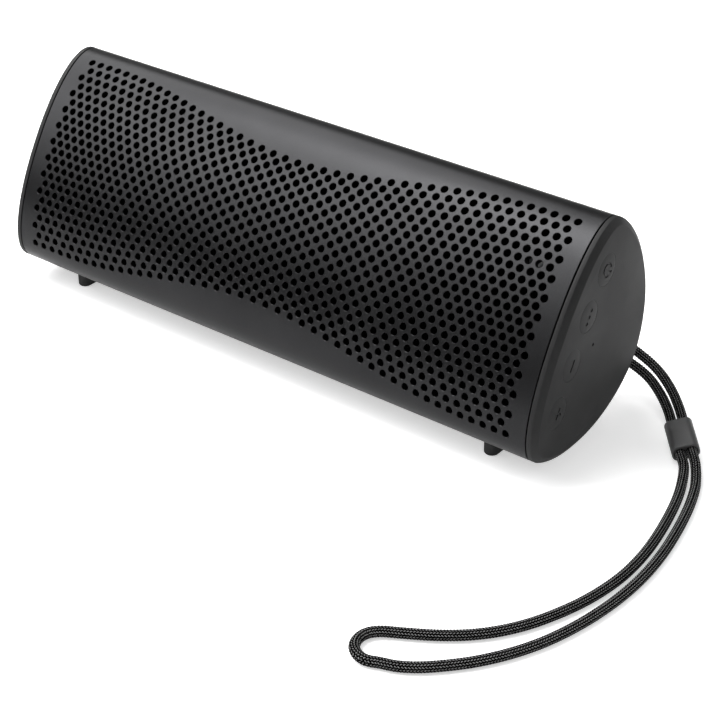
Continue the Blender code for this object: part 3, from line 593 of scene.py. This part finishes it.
def section_point(angle, inset=0.0):
    """(y, z) of the body's section: 0 at the front, 90 degrees at the top."""
    c, s = math.cos(angle), math.sin(angle)
    depth, power = (BODY_DEPTHS[0], BODY_POWERS[0]) if c > 0 else (BODY_DEPTHS[1], BODY_POWERS[1])
    y = -math.copysign(depth * abs(c) ** (2 / power), c)
    z = math.copysign(BODY_HALF_HEIGHT * abs(s) ** (2 / power), s)
    slope = 2 * (power - 1) / power
    ny = -math.copysign(abs(c) ** slope / depth, c)
    nz = math.copysign(abs(s) ** slope / BODY_HALF_HEIGHT, s)
    size = math.hypot(ny, nz)
    return y - inset * ny / size, z - inset * nz / size


def section_ring(x, inset, count):
    """The body's section at a place along it, moved inwards."""
    return [leaned_point(x, *section_point(2 * math.pi * k / count, inset)) for k in range(count)]


def lean_turn(vector):
    """A direction of the body's own frame in the world."""
    return leaned_point(*vector) - leaned_point(0, 0, 0)


def oval(half_width, half_height, count=48):
    """Outline of an oval, starting on the first axis."""
    turns = [2 * math.pi * k / count for k in range(count)]
    return [(half_width * math.cos(t), half_height * math.sin(t)) for t in turns]


def racetrack(radius, level, upright, count):
    """Outline of a circle pulled apart along one axis, by a half length."""
    points = []
    for k in range(count):
        turn = 2 * math.pi * (k + 0.5) / count
        c, s = math.cos(turn), math.sin(turn)
        points.append((radius * c + math.copysign(level, c),
                       radius * s + math.copysign(upright, s)))
    return points


def rod_mesh(radius, length, sides, turn, place):
    """A bmesh rod along a turned Z axis, for cutters and channels."""
    shape = bmesh.new()
    bmesh.ops.create_cone(shape, cap_ends=True, segments=sides, radius1=radius, radius2=radius,
                          depth=length)
    matrix = Matrix.Translation(place) @ turn.to_4x4()
    bmesh.ops.transform(shape, matrix=matrix, verts=shape.verts)
    return shape


def as_bmesh(mesh):
    """A mesh turned into a bmesh, for cutters."""
    shape = bmesh.new()
    shape.from_mesh(mesh)
    bpy.data.meshes.remove(mesh)
    return shape


def joined(name, shapes):
    """One mesh from several bmeshes."""
    whole = bmesh.new()
    for shape in shapes:
        part = bpy.data.meshes.new("part")
        shape.to_mesh(part)
        shape.free()
        whole.from_mesh(part)
        bpy.data.meshes.remove(part)
    mesh = bpy.data.meshes.new(name)
    whole.to_mesh(mesh)
    whole.free()
    return mesh


# The holes: rows stand closer together in the middle, and holes stand further apart there
fine_angles = np.linspace(0.0, math.pi / 2, 4001)
fine_section = np.array([section_point(a) for a in fine_angles])
fine_steps = np.linalg.norm(np.diff(fine_section, axis=0), axis=1)
fine_arc = np.concatenate([[0.0], np.cumsum(fine_steps)])
hole_places, hole_ways = [], []
for row in range(-HOLE_ROWS, HOLE_ROWS + 1):
    count = 45 if row % 2 else 44
    out = (row / HOLE_ROWS) ** 2
    spread, second_spread = SPREAD - SPREAD_LOSS * out, SECOND_SPREAD - SECOND_SPREAD_LOSS * out
    for hole in range(count):
        t = (hole - (count - 1) / 2) / 22
        x = (HOLE_REACH_X - REACH_LOSS * out) * (
            t + spread * math.sin(math.pi * t) / math.pi
            + second_spread * math.sin(2 * math.pi * t) / (2 * math.pi))
        middle = (1 + math.cos(math.pi * min(abs(x) / MIDDLE_END_X, 1.0))) / 2
        arc = (row * (ROW_PITCH - MIDDLE_PITCH_LOSS * middle)
               + OUTER_ROW_SHIFT * (row / HOLE_ROWS) ** 3 * (1 - middle))
        angle = math.copysign(np.interp(abs(arc), fine_arc, fine_angles), arc)
        y, z = section_point(angle)
        inner_y, inner_z = section_point(angle, 0.001)
        hole_places.append(leaned_point(x, y, z))
        hole_ways.append(tuple(lean_turn((0, (y - inner_y) * 1000, (z - inner_z) * 1000))))

hole_mesh = bpy.data.meshes.new("hole_places")
hole_mesh.from_pydata([tuple(p) for p in hole_places], [], [])
hole_outward = hole_mesh.attributes.new("outward", "FLOAT_VECTOR", "POINT")
hole_outward.data.foreach_set("vector", np.ravel(hole_ways))
holes = plain_object("hole_places", hole_mesh)
drill_steps = ((HOLE_RADIUS, -HOLE_DEPTH), (HOLE_RADIUS, -HOLE_RIM),
               (HOLE_RADIUS + HOLE_RIM + 0.0002, 0.0002))
drill = plain_object("drill", loft("drill", [
    [(a, b, height) for a, b in oval(radius, radius, HOLE_SIDES)]
    for radius, height in drill_steps]))

LEAN_TURN = Matrix.Rotation(-BODY_LEAN, 3, "X")
ALONG_TURN = LEAN_TURN @ Matrix(((0, 0, 1), (1, 0, 0), (0, 1, 0)))
channel_places = [section_point(math.radians(a), CHANNEL_INSET) for a in (97, -97, 128, -128)]
channels = plain_object("channels", joined("channels", [
    rod_mesh(CHANNEL_RADIUS, CHANNEL_LENGTH, 20, ALONG_TURN, leaned_point(0, *place))
    for place in channel_places]))


def slot_shape(length, height, depth, place):
    """A round-ended bmesh bar through the front or back wall, for cutters."""
    radius = min(length, height) / 2
    outline = racetrack(radius, length / 2 - radius, height / 2 - radius, 28)
    return as_bmesh(loft("slot", [
        [leaned_point(place[0] + a, y, place[2] + b) for a, b in outline]
        for y in (place[1] - depth / 2, place[1] + depth / 2)]))


openings = plain_object("openings", joined("openings", [
    slot_shape(0.0096, 0.0039, 0.012, PORT_PLACE),
    slot_shape(0.0074, 0.0124, 0.012, (ANCHOR_X, 0.0377, 0.0))] + [
    rod_mesh(SCREW_BORE_RADIUS, 0.024, 12, ALONG_TURN, leaned_point(side * SCREW_BORE_X, *place))
    for place in channel_places for side in (-1, 1)]))


def object_mesh(tree, socket):
    """The mesh of an object that is given to a tree."""
    return add_node(tree, "GeometryNodeObjectInfo", {"Object": socket}).outputs["Geometry"]


def solid(tree, operation, inputs, *others):
    """The sum of solids, or what is left of the first one without the others."""
    made = add_node(tree, "GeometryNodeMeshBoolean", inputs, operation=operation,
                    solver="MANIFOLD")
    for other in others:
        tree.links.new(other, made.inputs["Mesh 2"])
    return made.outputs["Mesh"]


drilled, given, result = node_tree("drilled_shell", [
    ("Holes", "Object", None), ("Drill", "Object", None), ("Channels", "Object", None),
    ("Openings", "Object", None), ("Finish", "Material", None)])
facing = add_node(drilled, "FunctionNodeAlignRotationToVector",
                  {"Vector": kept_value(drilled, "outward", "FLOAT_VECTOR")}, axis="Z")
bits = add_node(drilled, "GeometryNodeInstanceOnPoints", {
    "Points": object_mesh(drilled, given["Holes"]),
    "Instance": object_mesh(drilled, given["Drill"]), "Rotation": facing.outputs[0]})
cut = add_node(drilled, "GeometryNodeRealizeInstances", {"Geometry": bits.outputs[0]})
ribbed = solid(drilled, "UNION", {}, given["Geometry"], object_mesh(drilled, given["Channels"]))
pierced = solid(drilled, "DIFFERENCE", {"Mesh 1": ribbed}, cut.outputs[0],
                object_mesh(drilled, given["Openings"]))
end_tree(drilled, pierced, given, result)

anodised = skin("anodised_near_black", (0.023, 0.023, 0.024), (0.031, 0.031, 0.0322), 0.31, 0.34,
                grain=4200.0, relief=0.6, depth=0.00003, Metallic=0.95)
end_x, edge_x = SHELL_END_X, SHELL_END_X - SHELL_EDGE
tube_rings = [section_ring(x, inset, 96) for x, inset in (
    (-end_x, SHELL_EDGE), (-edge_x, 0.0), (edge_x, 0.0), (end_x, SHELL_EDGE),
    (end_x, WALL), (-end_x, WALL))]
shell = grown(
    plain_object("body_shell_drilled", loft("body_shell_drilled", tube_rings, around=True)),
    drilled, {"Holes": holes, "Drill": drill, "Channels": channels, "Openings": openings,
              "Finish": anodised})
for helper in (holes, drill, channels, openings):
    bpy.data.objects.remove(helper, do_unlink=True)


def rounded_as_section(mesh, inset, end):
    """Give the faces on the section's own skin the section's normals; the others keep theirs."""
    smoothed(mesh, 32)
    places = np.empty(len(mesh.vertices) * 3)
    mesh.vertices.foreach_get("co", places)
    places = places.reshape(-1, 3)
    across, up = places[:, 1] - BODY_AXIS_Y, places[:, 2] - BODY_AXIS_Z
    c, s = math.cos(BODY_LEAN), math.sin(BODY_LEAN)
    y, z = across * c - up * s, across * s + up * c
    depth = np.where(y < 0, BODY_DEPTHS[0], BODY_DEPTHS[1])
    power = np.where(y < 0, BODY_POWERS[0], BODY_POWERS[1])
    level = np.abs(y / depth) ** power + np.abs(z / BODY_HALF_HEIGHT) ** power
    ny = np.sign(y) * np.abs(y / depth) ** (power - 1) / depth
    nz = np.sign(z) * np.abs(z / BODY_HALF_HEIGHT) ** (power - 1) / BODY_HALF_HEIGHT
    size = np.hypot(ny, nz)
    normals = np.stack([np.zeros(len(y)), (ny * c + nz * s) / size,
                        (-ny * s + nz * c) / size], axis=1)
    on_skin = (level > 1 - inset) & (np.abs(places[:, 0]) < end)
    corners = np.empty(len(mesh.loops), dtype=np.int64)
    mesh.loops.foreach_get("vertex_index", corners)
    wanted = np.zeros((len(mesh.loops), 3))
    for face in mesh.polygons:
        loops = range(face.loop_start, face.loop_start + face.loop_total)
        if all(on_skin[corners[k]] for k in loops) and abs(face.normal.x) < 0.1:
            if Vector(normals[corners[face.loop_start]]).dot(face.normal) > 0.9:
                for k in loops:
                    wanted[k] = normals[corners[k]]
    mesh.normals_split_custom_set(wanted.tolist())


rounded_as_section(shell.data, 0.012, end_x - 0.0001)
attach(shell, "case")
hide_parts("body_shell")


# ================================================================ grille cloth
# A thin black water-shedding cloth, bonded behind the holes so that they look black, with one small
# opening for the status light. It is cut from one strip and follows the inside of the wall.

CLOTH_OFF, CLOTH_THICK, CLOTH_END_X = 0.0023, 0.0004, 0.0985
LIGHT_PLACE = (0.0906, 0.0173)
LENS_X = LIGHT_PLACE[0] - 0.0014
cloth_weave, given, result = surface_group(
    "plain_weave", [("Threads", 2600.0), ("Softness", 0.4)], ["Thread", "Height"])
warp, weft = [
    add_node(cloth_weave, "ShaderNodeTexWave",
             {"Vector": given["Place"], "Scale": given["Threads"], "Distortion": 0.2},
             bands_direction=direction).outputs["Fac"] for direction in ("X", "Z")]
crossing = number(cloth_weave, "MULTIPLY", warp, weft)
height = number(cloth_weave, "MULTIPLY", crossing, given["Softness"])
cloth_weave.links.new(crossing, result["Thread"])
cloth_weave.links.new(height, result["Height"])

cloth_black, tree, shader, group = patterned("cloth_black", cloth_weave)
two_toned(tree, shader, group.outputs["Thread"], (0.0008, 0.0008, 0.0008),
          (0.0030, 0.0030, 0.0030))
embossed(tree, shader, group.outputs["Height"], 0.5, 0.00005)
shader.inputs["Roughness"].default_value = 0.95
shader.inputs["Specular IOR Level"].default_value = 0.05

edge_angles = [math.radians(a) for a in np.linspace(-60, 60, 61)]
cloth_edge = [section_point(a, CLOTH_OFF) for a in edge_angles]
cloth_edge += [section_point(a, CLOTH_OFF + CLOTH_THICK) for a in reversed(edge_angles)]
cloth_base = plain_object("cloth_strip", loft("cloth_strip", [
    [leaned_point(x, y, z) for y, z in cloth_edge] for x in (-CLOTH_END_X, CLOTH_END_X)]))

trimmed, given, result = node_tree(
    "cut_away", [("Cutters", "Object", None), ("Finish", "Material", None)])
less = solid(trimmed, "DIFFERENCE", {"Mesh 1": given["Geometry"]},
             object_mesh(trimmed, given["Cutters"]))
end_tree(trimmed, less, given, result)


def cut_from(base, shapes, finish, crease=35):
    """A piece with some shapes cut out of it, shaded smooth up to a crease angle."""
    cutters = plain_object("cutters", joined("cutters", shapes))
    made = grown(base, trimmed, {"Cutters": cutters, "Finish": finish})
    bpy.data.objects.remove(cutters, do_unlink=True)
    smoothed(made.data, crease)
    return made


cloth = cut_from(cloth_base, [
    slot_shape(0.0062, 0.0030, 0.006, (LENS_X, -0.0095, LIGHT_PLACE[1]))], cloth_black)
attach(cloth, "case")
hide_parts("grille_cloth")


# ================================================================ end caps
# Two dark-grey silicone covers over the ends, each a straight rim, a chamfer and a flat face with
# soft edges. The right one has four oval key openings and a microphone hole.

RIM_X, EDGE_X, FACE_X, CHAMFER = 0.1035, 0.1050, 0.10650, 0.00205
KEYS = {"power": (0.0009, 0.0216), "function": (0.0021, 0.00735),
        "volume_down": (0.0021, -0.00735), "volume_up": (0.0009, -0.0216)}
KEY_HALF_DEPTH, KEY_HALF_HEIGHT, KEY_GAP = 0.00445, 0.0050, 0.00004
cap_rubber = skin("cap_silicone", (0.008, 0.008, 0.0083), (0.012, 0.012, 0.0124), 0.52, 0.62,
                  grain=3000.0, Specular_IOR_Level=0.36)


def cap_mesh(side):
    """A solid cover for one end."""
    steps = [(RIM_X, 0.00012), (RIM_X + 0.00012, 0.0), (EDGE_X - 0.00012, 0.0),
             (EDGE_X - 0.00003, 0.00004), (EDGE_X + 0.00008, 0.00012),
             (FACE_X - 0.00012, CHAMFER - 0.00016), (FACE_X - 0.00003, CHAMFER + 0.00002),
             (FACE_X, CHAMFER + 0.00018)]
    return loft("end_cap", [section_ring(side * x, inset, 160) for x, inset in steps])


def end_prism(outline, forward, height, low, high):
    """A bmesh prism along X on the right end, from an outline of (forward, height) points."""
    return as_bmesh(loft("prism", [
        [leaned_point(x, -(forward + a), height + b) for a, b in outline] for x in (low, high)]))


left_cap = piece_of("left_end_cover", cap_mesh(-1), cap_rubber, 28)
opening = oval(KEY_HALF_DEPTH + KEY_GAP, KEY_HALF_HEIGHT + KEY_GAP, 64)
microphone_hole = rod_mesh(0.0005, 0.012, 16, ALONG_TURN, leaned_point(0.1060, 0.0065, 0.0))
right_cap = cut_from(
    plain_object("right_end_cover", cap_mesh(1)),
    [end_prism(opening, *place, 0.1020, 0.1080) for place in KEYS.values()] + [microphone_hole],
    cap_rubber, 28)
for cap, node in ((left_cap, "end_cap_left"), (right_cap, "end_cap_right")):
    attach(cap, "case")
    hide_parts(node)


# ================================================================ keys
# Four oval silicone keys, each a low soft dome with a thin engraved sign: power, three dots,
# minus and plus. A short stem behind each one presses a dome switch.

SIGN_DEPTH, LINE = 0.00024, 0.00066
KEY_BACK_X, KEY_STEM_X, KEY_TOP_X = 0.1045, 0.1040, 0.10676
STEM_RADIUS, STEM_LENGTH = 0.0015, 0.0010
sign_black = skin("sign_black", (0.001, 0.001, 0.001), (0.003, 0.003, 0.003), 0.8, 0.9,
                  grain=3000.0, Specular_IOR_Level=0.02)


def arc_points(radius, start, end, count=22):
    """Points along an arc, its angles in degrees."""
    turns = [math.radians(start + (end - start) * k / count) for k in range(count + 1)]
    return [(radius * math.cos(t), radius * math.sin(t)) for t in turns]


def ribbon(points):
    """Outline of an engraved line along (forward, height) points."""
    left, right = [], []
    for k, p in enumerate(points):
        a, b = np.array(points[max(k - 1, 0)]), np.array(points[min(k + 1, len(points) - 1)])
        along = (b - a) / np.linalg.norm(b - a)
        across = np.array((-along[1], along[0])) * LINE / 2
        left.append(tuple(np.array(p) + across))
        right.append(tuple(np.array(p) - across))
    return left + right[::-1]


def plus_sign(reach):
    """Outline of a plus sign."""
    a, b = LINE / 2, reach
    return [(b, -a), (b, a), (a, a), (a, b), (-a, b), (-a, a),
            (-b, a), (-b, -a), (-a, -a), (-a, -b), (a, -b), (a, -a)]


# Each sign's outlines, and how far up the key each of them stands
dot = oval(0.00056, 0.00056, 16)
signs = {"power": [(ribbon(arc_points(0.0020, -140, 140)), 0.0),
                   (ribbon([(-0.0026, 0.0), (-0.0002, 0.0)]), 0.0)],
         "function": [(dot, -0.0021), (dot, 0.0), (dot, 0.0021)],
         "volume_down": [(ribbon([(0.0, -0.0019), (0.0, 0.0019)]), 0.0)],
         "volume_up": [(plus_sign(0.0019), 0.0)]}
dome = [(KEY_BACK_X, 0.0), (0.10647, 0.0), (0.10649, 0.01), (0.10652, 0.05), (0.10659, 0.14),
        (0.10666, 0.28), (0.10671, 0.45), (0.10674, 0.65), (KEY_TOP_X, 0.88)]
groove_x = KEY_TOP_X - SIGN_DEPTH

for name, (forward, height) in KEYS.items():
    rings = [[leaned_point(x, -(forward + a * (1 - shrink)), height + b * (1 - shrink))
              for a, b in oval(KEY_HALF_DEPTH, KEY_HALF_HEIGHT, 64)] for x, shrink in dome]
    key = plain_object(name + "_key", loft(name + "_key", rings))
    for outline, rise in signs[name]:
        groove = end_prism(outline, forward, height + rise, groove_x, 0.1075)
        key = cut_from(key, [groove], cap_rubber, 40)
        key.name = name + "_key"
    stem = joined("stem", [rod_mesh(STEM_RADIUS, STEM_LENGTH, 24, ALONG_TURN, leaned_point(
        KEY_STEM_X + STEM_LENGTH / 2, -forward, height))])
    whole = bmesh.new()
    whole.from_mesh(key.data)
    whole.from_mesh(stem)
    whole.to_mesh(key.data)
    whole.free()
    smoothed(key.data, 40)
    key.data.materials.append(sign_black)
    middle = leaned_point(0.0, -forward, height)
    for face in key.data.polygons:
        off = math.hypot(face.center.y - middle.y, face.center.z - middle.z)
        on_floor = face.normal.x > 0.98 and abs(face.center.x - groove_x) < 0.00001
        in_wall = abs(face.normal.x) < 0.5 and off < 0.0032 and face.center.x > groove_x
        if on_floor or in_wall:
            face.material_index = 1
    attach(key, name + "_key")
    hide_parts(name + "_button")


# ================================================================ feet
# Two black rubber bars bonded under the body, round at both ends and softened along the bottom
# edge; their tops are shaped to the tube.

FOOT_X, FOOT_HALF_WIDTH, FOOT_ROUND = 0.0849, 0.0024, 0.0007
FOOT_FRONT_Y, FOOT_BACK_Y, FOOT_TOP_Z = -0.0212, 0.0175, 0.018
foot_rubber = skin("foot_rubber", (0.010, 0.010, 0.010), (0.016, 0.016, 0.016), 0.6, 0.7)


def foot_ring(x, inset, z):
    """A foot's outline at a height, moved inwards."""
    middle, half = (FOOT_FRONT_Y + FOOT_BACK_Y) / 2, (FOOT_BACK_Y - FOOT_FRONT_Y) / 2
    outline = racetrack(FOOT_HALF_WIDTH - inset, 0.0, half - FOOT_HALF_WIDTH, 48)
    return [(x + a, middle + b, z) for a, b in outline]


for word, side in (("left", -1), ("right", 1)):
    x = side * FOOT_X
    rings = [foot_ring(x, inset, z) for inset, z in reversed(round_over(FOOT_ROUND, 4))]
    rings += [foot_ring(x, 0.0, FOOT_TOP_Z)]
    tube = as_bmesh(loft("tube", [section_ring(x + end, -0.0003, 160) for end in (-0.01, 0.01)]))
    foot = cut_from(plain_object(word + "_foot_bar", loft("foot_bar", rings)), [tube],
                    foot_rubber, 40)
    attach(foot, "case")
    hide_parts("foot_" + word)


# ================================================================ status light
# A clear acrylic pin leads the light of an indicator inside the baffle to the front. A flat clear
# lens before it, behind two of the holes, closes the cloth's opening.

LIGHT_BACK_Y, LIGHT_TIP_Y = -0.0014, -0.0082
clear_acrylic = skin("clear_acrylic", (0.42, 0.42, 0.43), (0.50, 0.50, 0.51), 0.25, 0.35,
                     grain=800.0, relief=0.1, Coat_Weight=0.4)


def pin_ring(radius, y):
    """A circle round the pin's axis."""
    return [leaned_point(LIGHT_PLACE[0] + a, y, LIGHT_PLACE[1] + b)
            for a, b in oval(radius, radius, 24)]


pin_steps = [(0.0010, LIGHT_BACK_Y), (0.0010, -0.0078), (0.00092, -0.00800),
             (0.0006, -0.00812), (0.0002, LIGHT_TIP_Y)]
guide = piece_of("light_pin", loft("light_pin", [pin_ring(*step) for step in pin_steps]),
                 clear_acrylic, 40)
lens = piece_of("light_window", joined("light_window", [
    slot_shape(0.0060, 0.0026, 0.0005, (LENS_X, -0.0088, LIGHT_PLACE[1]))]), clear_acrylic, 40)
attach(lens, "case")
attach(guide, "case")
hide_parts("status_light_guide")


# ================================================================ strap anchor
# A moulded black insert in the back wall, with a round-ended outline and a blind bore for each
# end of the strap.

ANCHOR_IN_Y, ANCHOR_OUT_Y, ANCHOR_ROUND = 0.0295, 0.0386, 0.0005
ANCHOR_HALF_WIDTH, ANCHOR_HALF_HEIGHT = 0.0034, 0.0059
BORE_FLOOR_Y, BORE_LENGTH, ANCHOR_BORE = 0.0345, 0.0100, 0.00180
FRONT_TURN = LEAN_TURN @ Matrix.Rotation(math.radians(90), 3, "X")
black_plastic = skin("black_moulding", (0.011, 0.011, 0.011), (0.018, 0.018, 0.018), 0.45, 0.55,
                     grain=2200.0)


def anchor_ring(inset, y):
    """The anchor's outline at a depth, moved inwards."""
    outline = racetrack(ANCHOR_HALF_WIDTH - inset, 0.0, ANCHOR_HALF_HEIGHT - ANCHOR_HALF_WIDTH, 48)
    return [leaned_point(ANCHOR_X + a, y, b) for a, b in outline]


anchor_base = plain_object("anchor_insert", loft("anchor_insert", [
    anchor_ring(0.0, ANCHOR_IN_Y)] + [
    anchor_ring(inset, ANCHOR_OUT_Y - drop) for inset, drop in round_over(ANCHOR_ROUND, 4)]))
anchor = cut_from(anchor_base, [
    rod_mesh(ANCHOR_BORE, BORE_LENGTH, 32, FRONT_TURN,
             leaned_point(ANCHOR_X, BORE_FLOOR_Y + BORE_LENGTH / 2, side * BORE_Z))
    for side in (-1, 1)], black_plastic, 30)
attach(anchor, "case")
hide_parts("strap_anchor")


# ================================================================ plated steel and plastic inside
# Chassis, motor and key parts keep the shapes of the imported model. Pressed and turned steel is zinc
# plated, mouldings are black, and the charging port's shell is bright nickel.

def finish_nodes(finish, *names):
    """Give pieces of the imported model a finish; their shapes stay."""
    for name in names:
        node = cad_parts[name]
        if not node.material_slots:
            node.data.materials.append(finish)
        for place in node.material_slots:
            place.material = finish


zinc_steel = skin("zinc_plated_steel", (0.40, 0.41, 0.42), (0.52, 0.52, 0.51), 0.28, 0.42,
                  grain=1800.0, relief=0.15, Metallic=1.0)
nickel = skin("bright_nickel", (0.50, 0.48, 0.45), (0.58, 0.56, 0.53), 0.18, 0.28,
              grain=2500.0, relief=0.08, Metallic=1.0)
plate_screws = [f"plate_screw_{side}_{n}" for side in ("left", "right") for n in (1, 2, 3, 4)]
finish_nodes(zinc_steel, "motor_top_plate", "motor_yoke", "amplifier_shield", "board_screw_1",
             "board_screw_2", "tweeter_screw_1", "tweeter_screw_2", *plate_screws,
             *[f"driver_screw_{n}" for n in (1, 2, 3, 4)])
finish_nodes(nickel, "usb_port", *[f"{name}_switch" for name in KEYS])
painted_steel = skin("painted_steel", (0.018, 0.018, 0.019), (0.028, 0.028, 0.029), 0.35, 0.50,
                     grain=900.0, relief=0.4, depth=0.00006, Metallic=0.2)
finish_nodes(painted_steel, "driver_frame")
finish_nodes(black_plastic, "baffle", "tweeter_housing", "battery_cradle", "end_plate_left",
             "end_plate_right", "usb_tongue")
seal_rubber = skin("seal_foam", (0.020, 0.020, 0.020), (0.036, 0.036, 0.036), 0.8, 0.95,
                   grain=1400.0, relief=0.8, depth=0.0001)
finish_nodes(seal_rubber, "seal_left", "seal_right")


# ================================================================ cones, coil and magnets
# The woofer's cone is coated pressed paper with a matching dust cap, hung in a moulded rubber
# surround; its coil is wound in copper. The tweeter is a doped cloth dome. The magnets are grey
# sintered ferrite.

cone_paper = skin("coated_paper", (0.030, 0.030, 0.033), (0.060, 0.060, 0.064), 0.55, 0.75,
                  grain=700.0, relief=0.6, depth=0.0001)
finish_nodes(cone_paper, "driver_cone", "dust_cap")
surround_rubber = skin("surround_rubber", (0.012, 0.012, 0.012), (0.020, 0.020, 0.020), 0.40, 0.50,
                       grain=2000.0)
finish_nodes(surround_rubber, "driver_surround")
ferrite = skin("sintered_ferrite", (0.045, 0.042, 0.042), (0.085, 0.080, 0.078), 0.5, 0.7,
               grain=1200.0, relief=0.5, depth=0.00008)
finish_nodes(ferrite, "motor_magnet", "tweeter_magnet")

doped_dome, tree, shader, group = patterned("doped_cloth_dome", cloth_weave)
group.inputs["Threads"].default_value = 900.0
two_toned(tree, shader, group.outputs["Thread"], (0.012, 0.012, 0.012), (0.035, 0.035, 0.035))
embossed(tree, shader, group.outputs["Height"], 0.4, 0.0001)
shader.inputs["Roughness"].default_value = 0.45
finish_nodes(doped_dome, "tweeter_dome")

winding, given, result = surface_group(
    "winding", [("Turns Per Metre", 3200.0)], ["Groove", "Height"])
wire = add_node(winding, "ShaderNodeTexWave",
                {"Vector": given["Place"], "Scale": given["Turns Per Metre"]},
                bands_direction="Y", wave_profile="SIN")
winding.links.new(wire.outputs["Fac"], result["Groove"])
winding.links.new(wire.outputs["Fac"], result["Height"])
copper, tree, shader, group = patterned("enamelled_copper", winding)
# Painted shade: the copper is darkened towards the grooves between turns, keyed to the winding's
# height
two_toned(tree, shader, group.outputs["Groove"], (0.20, 0.06, 0.02), (0.72, 0.30, 0.14))
embossed(tree, shader, group.outputs["Height"], 0.5, 0.0001)
shader.inputs["Metallic"].default_value = 1.0
shader.inputs["Roughness"].default_value = 0.3
finish_nodes(copper, "voice_coil")


# ================================================================ battery and boards
# Two sleeved cylindrical cells, and two glass-laminate boards under green solder mask with tinned
# capacitor cans.

sleeve = skin("cell_sleeve", (0.030, 0.115, 0.270), (0.045, 0.150, 0.330), 0.22, 0.34,
              grain=500.0, relief=0.15, Coat_Weight=0.3)
finish_nodes(sleeve, "battery_cell_1", "battery_cell_2")
tinned_can = skin("tinned_can", (0.55, 0.55, 0.54), (0.66, 0.66, 0.65), 0.20, 0.30,
                  grain=1500.0, relief=0.1, Metallic=1.0)
finish_nodes(tinned_can, "capacitor_1", "capacitor_2")

board_tracks, given, result = surface_group(
    "board_tracks", [("Pitch", 420.0)], ["Track", "Roughness", "Height"])
cells = add_node(board_tracks, "ShaderNodeTexVoronoi",
                 {"Vector": given["Place"], "Scale": given["Pitch"], "Randomness": 0.85},
                 distance="CHEBYCHEV", feature="F1")
edge = number(board_tracks, "GREATER_THAN", cells.outputs["Distance"], 0.42)
rough = add_node(board_tracks, "ShaderNodeMapRange", {"Value": edge, "To Min": 0.30, "To Max": 0.42})
board_tracks.links.new(edge, result["Track"])
board_tracks.links.new(rough.outputs[0], result["Roughness"])
board_tracks.links.new(edge, result["Height"])
solder_mask, tree, shader, group = patterned("green_solder_mask", board_tracks)
two_toned(tree, shader, group.outputs["Track"], (0.008, 0.070, 0.030), (0.020, 0.125, 0.055))
tree.links.new(group.outputs["Roughness"], shader.inputs["Roughness"])
embossed(tree, shader, group.outputs["Height"], 0.3, 0.00005)
shader.inputs["Coat Weight"].default_value = 0.3
finish_nodes(solder_mask, "main_board", "button_board")
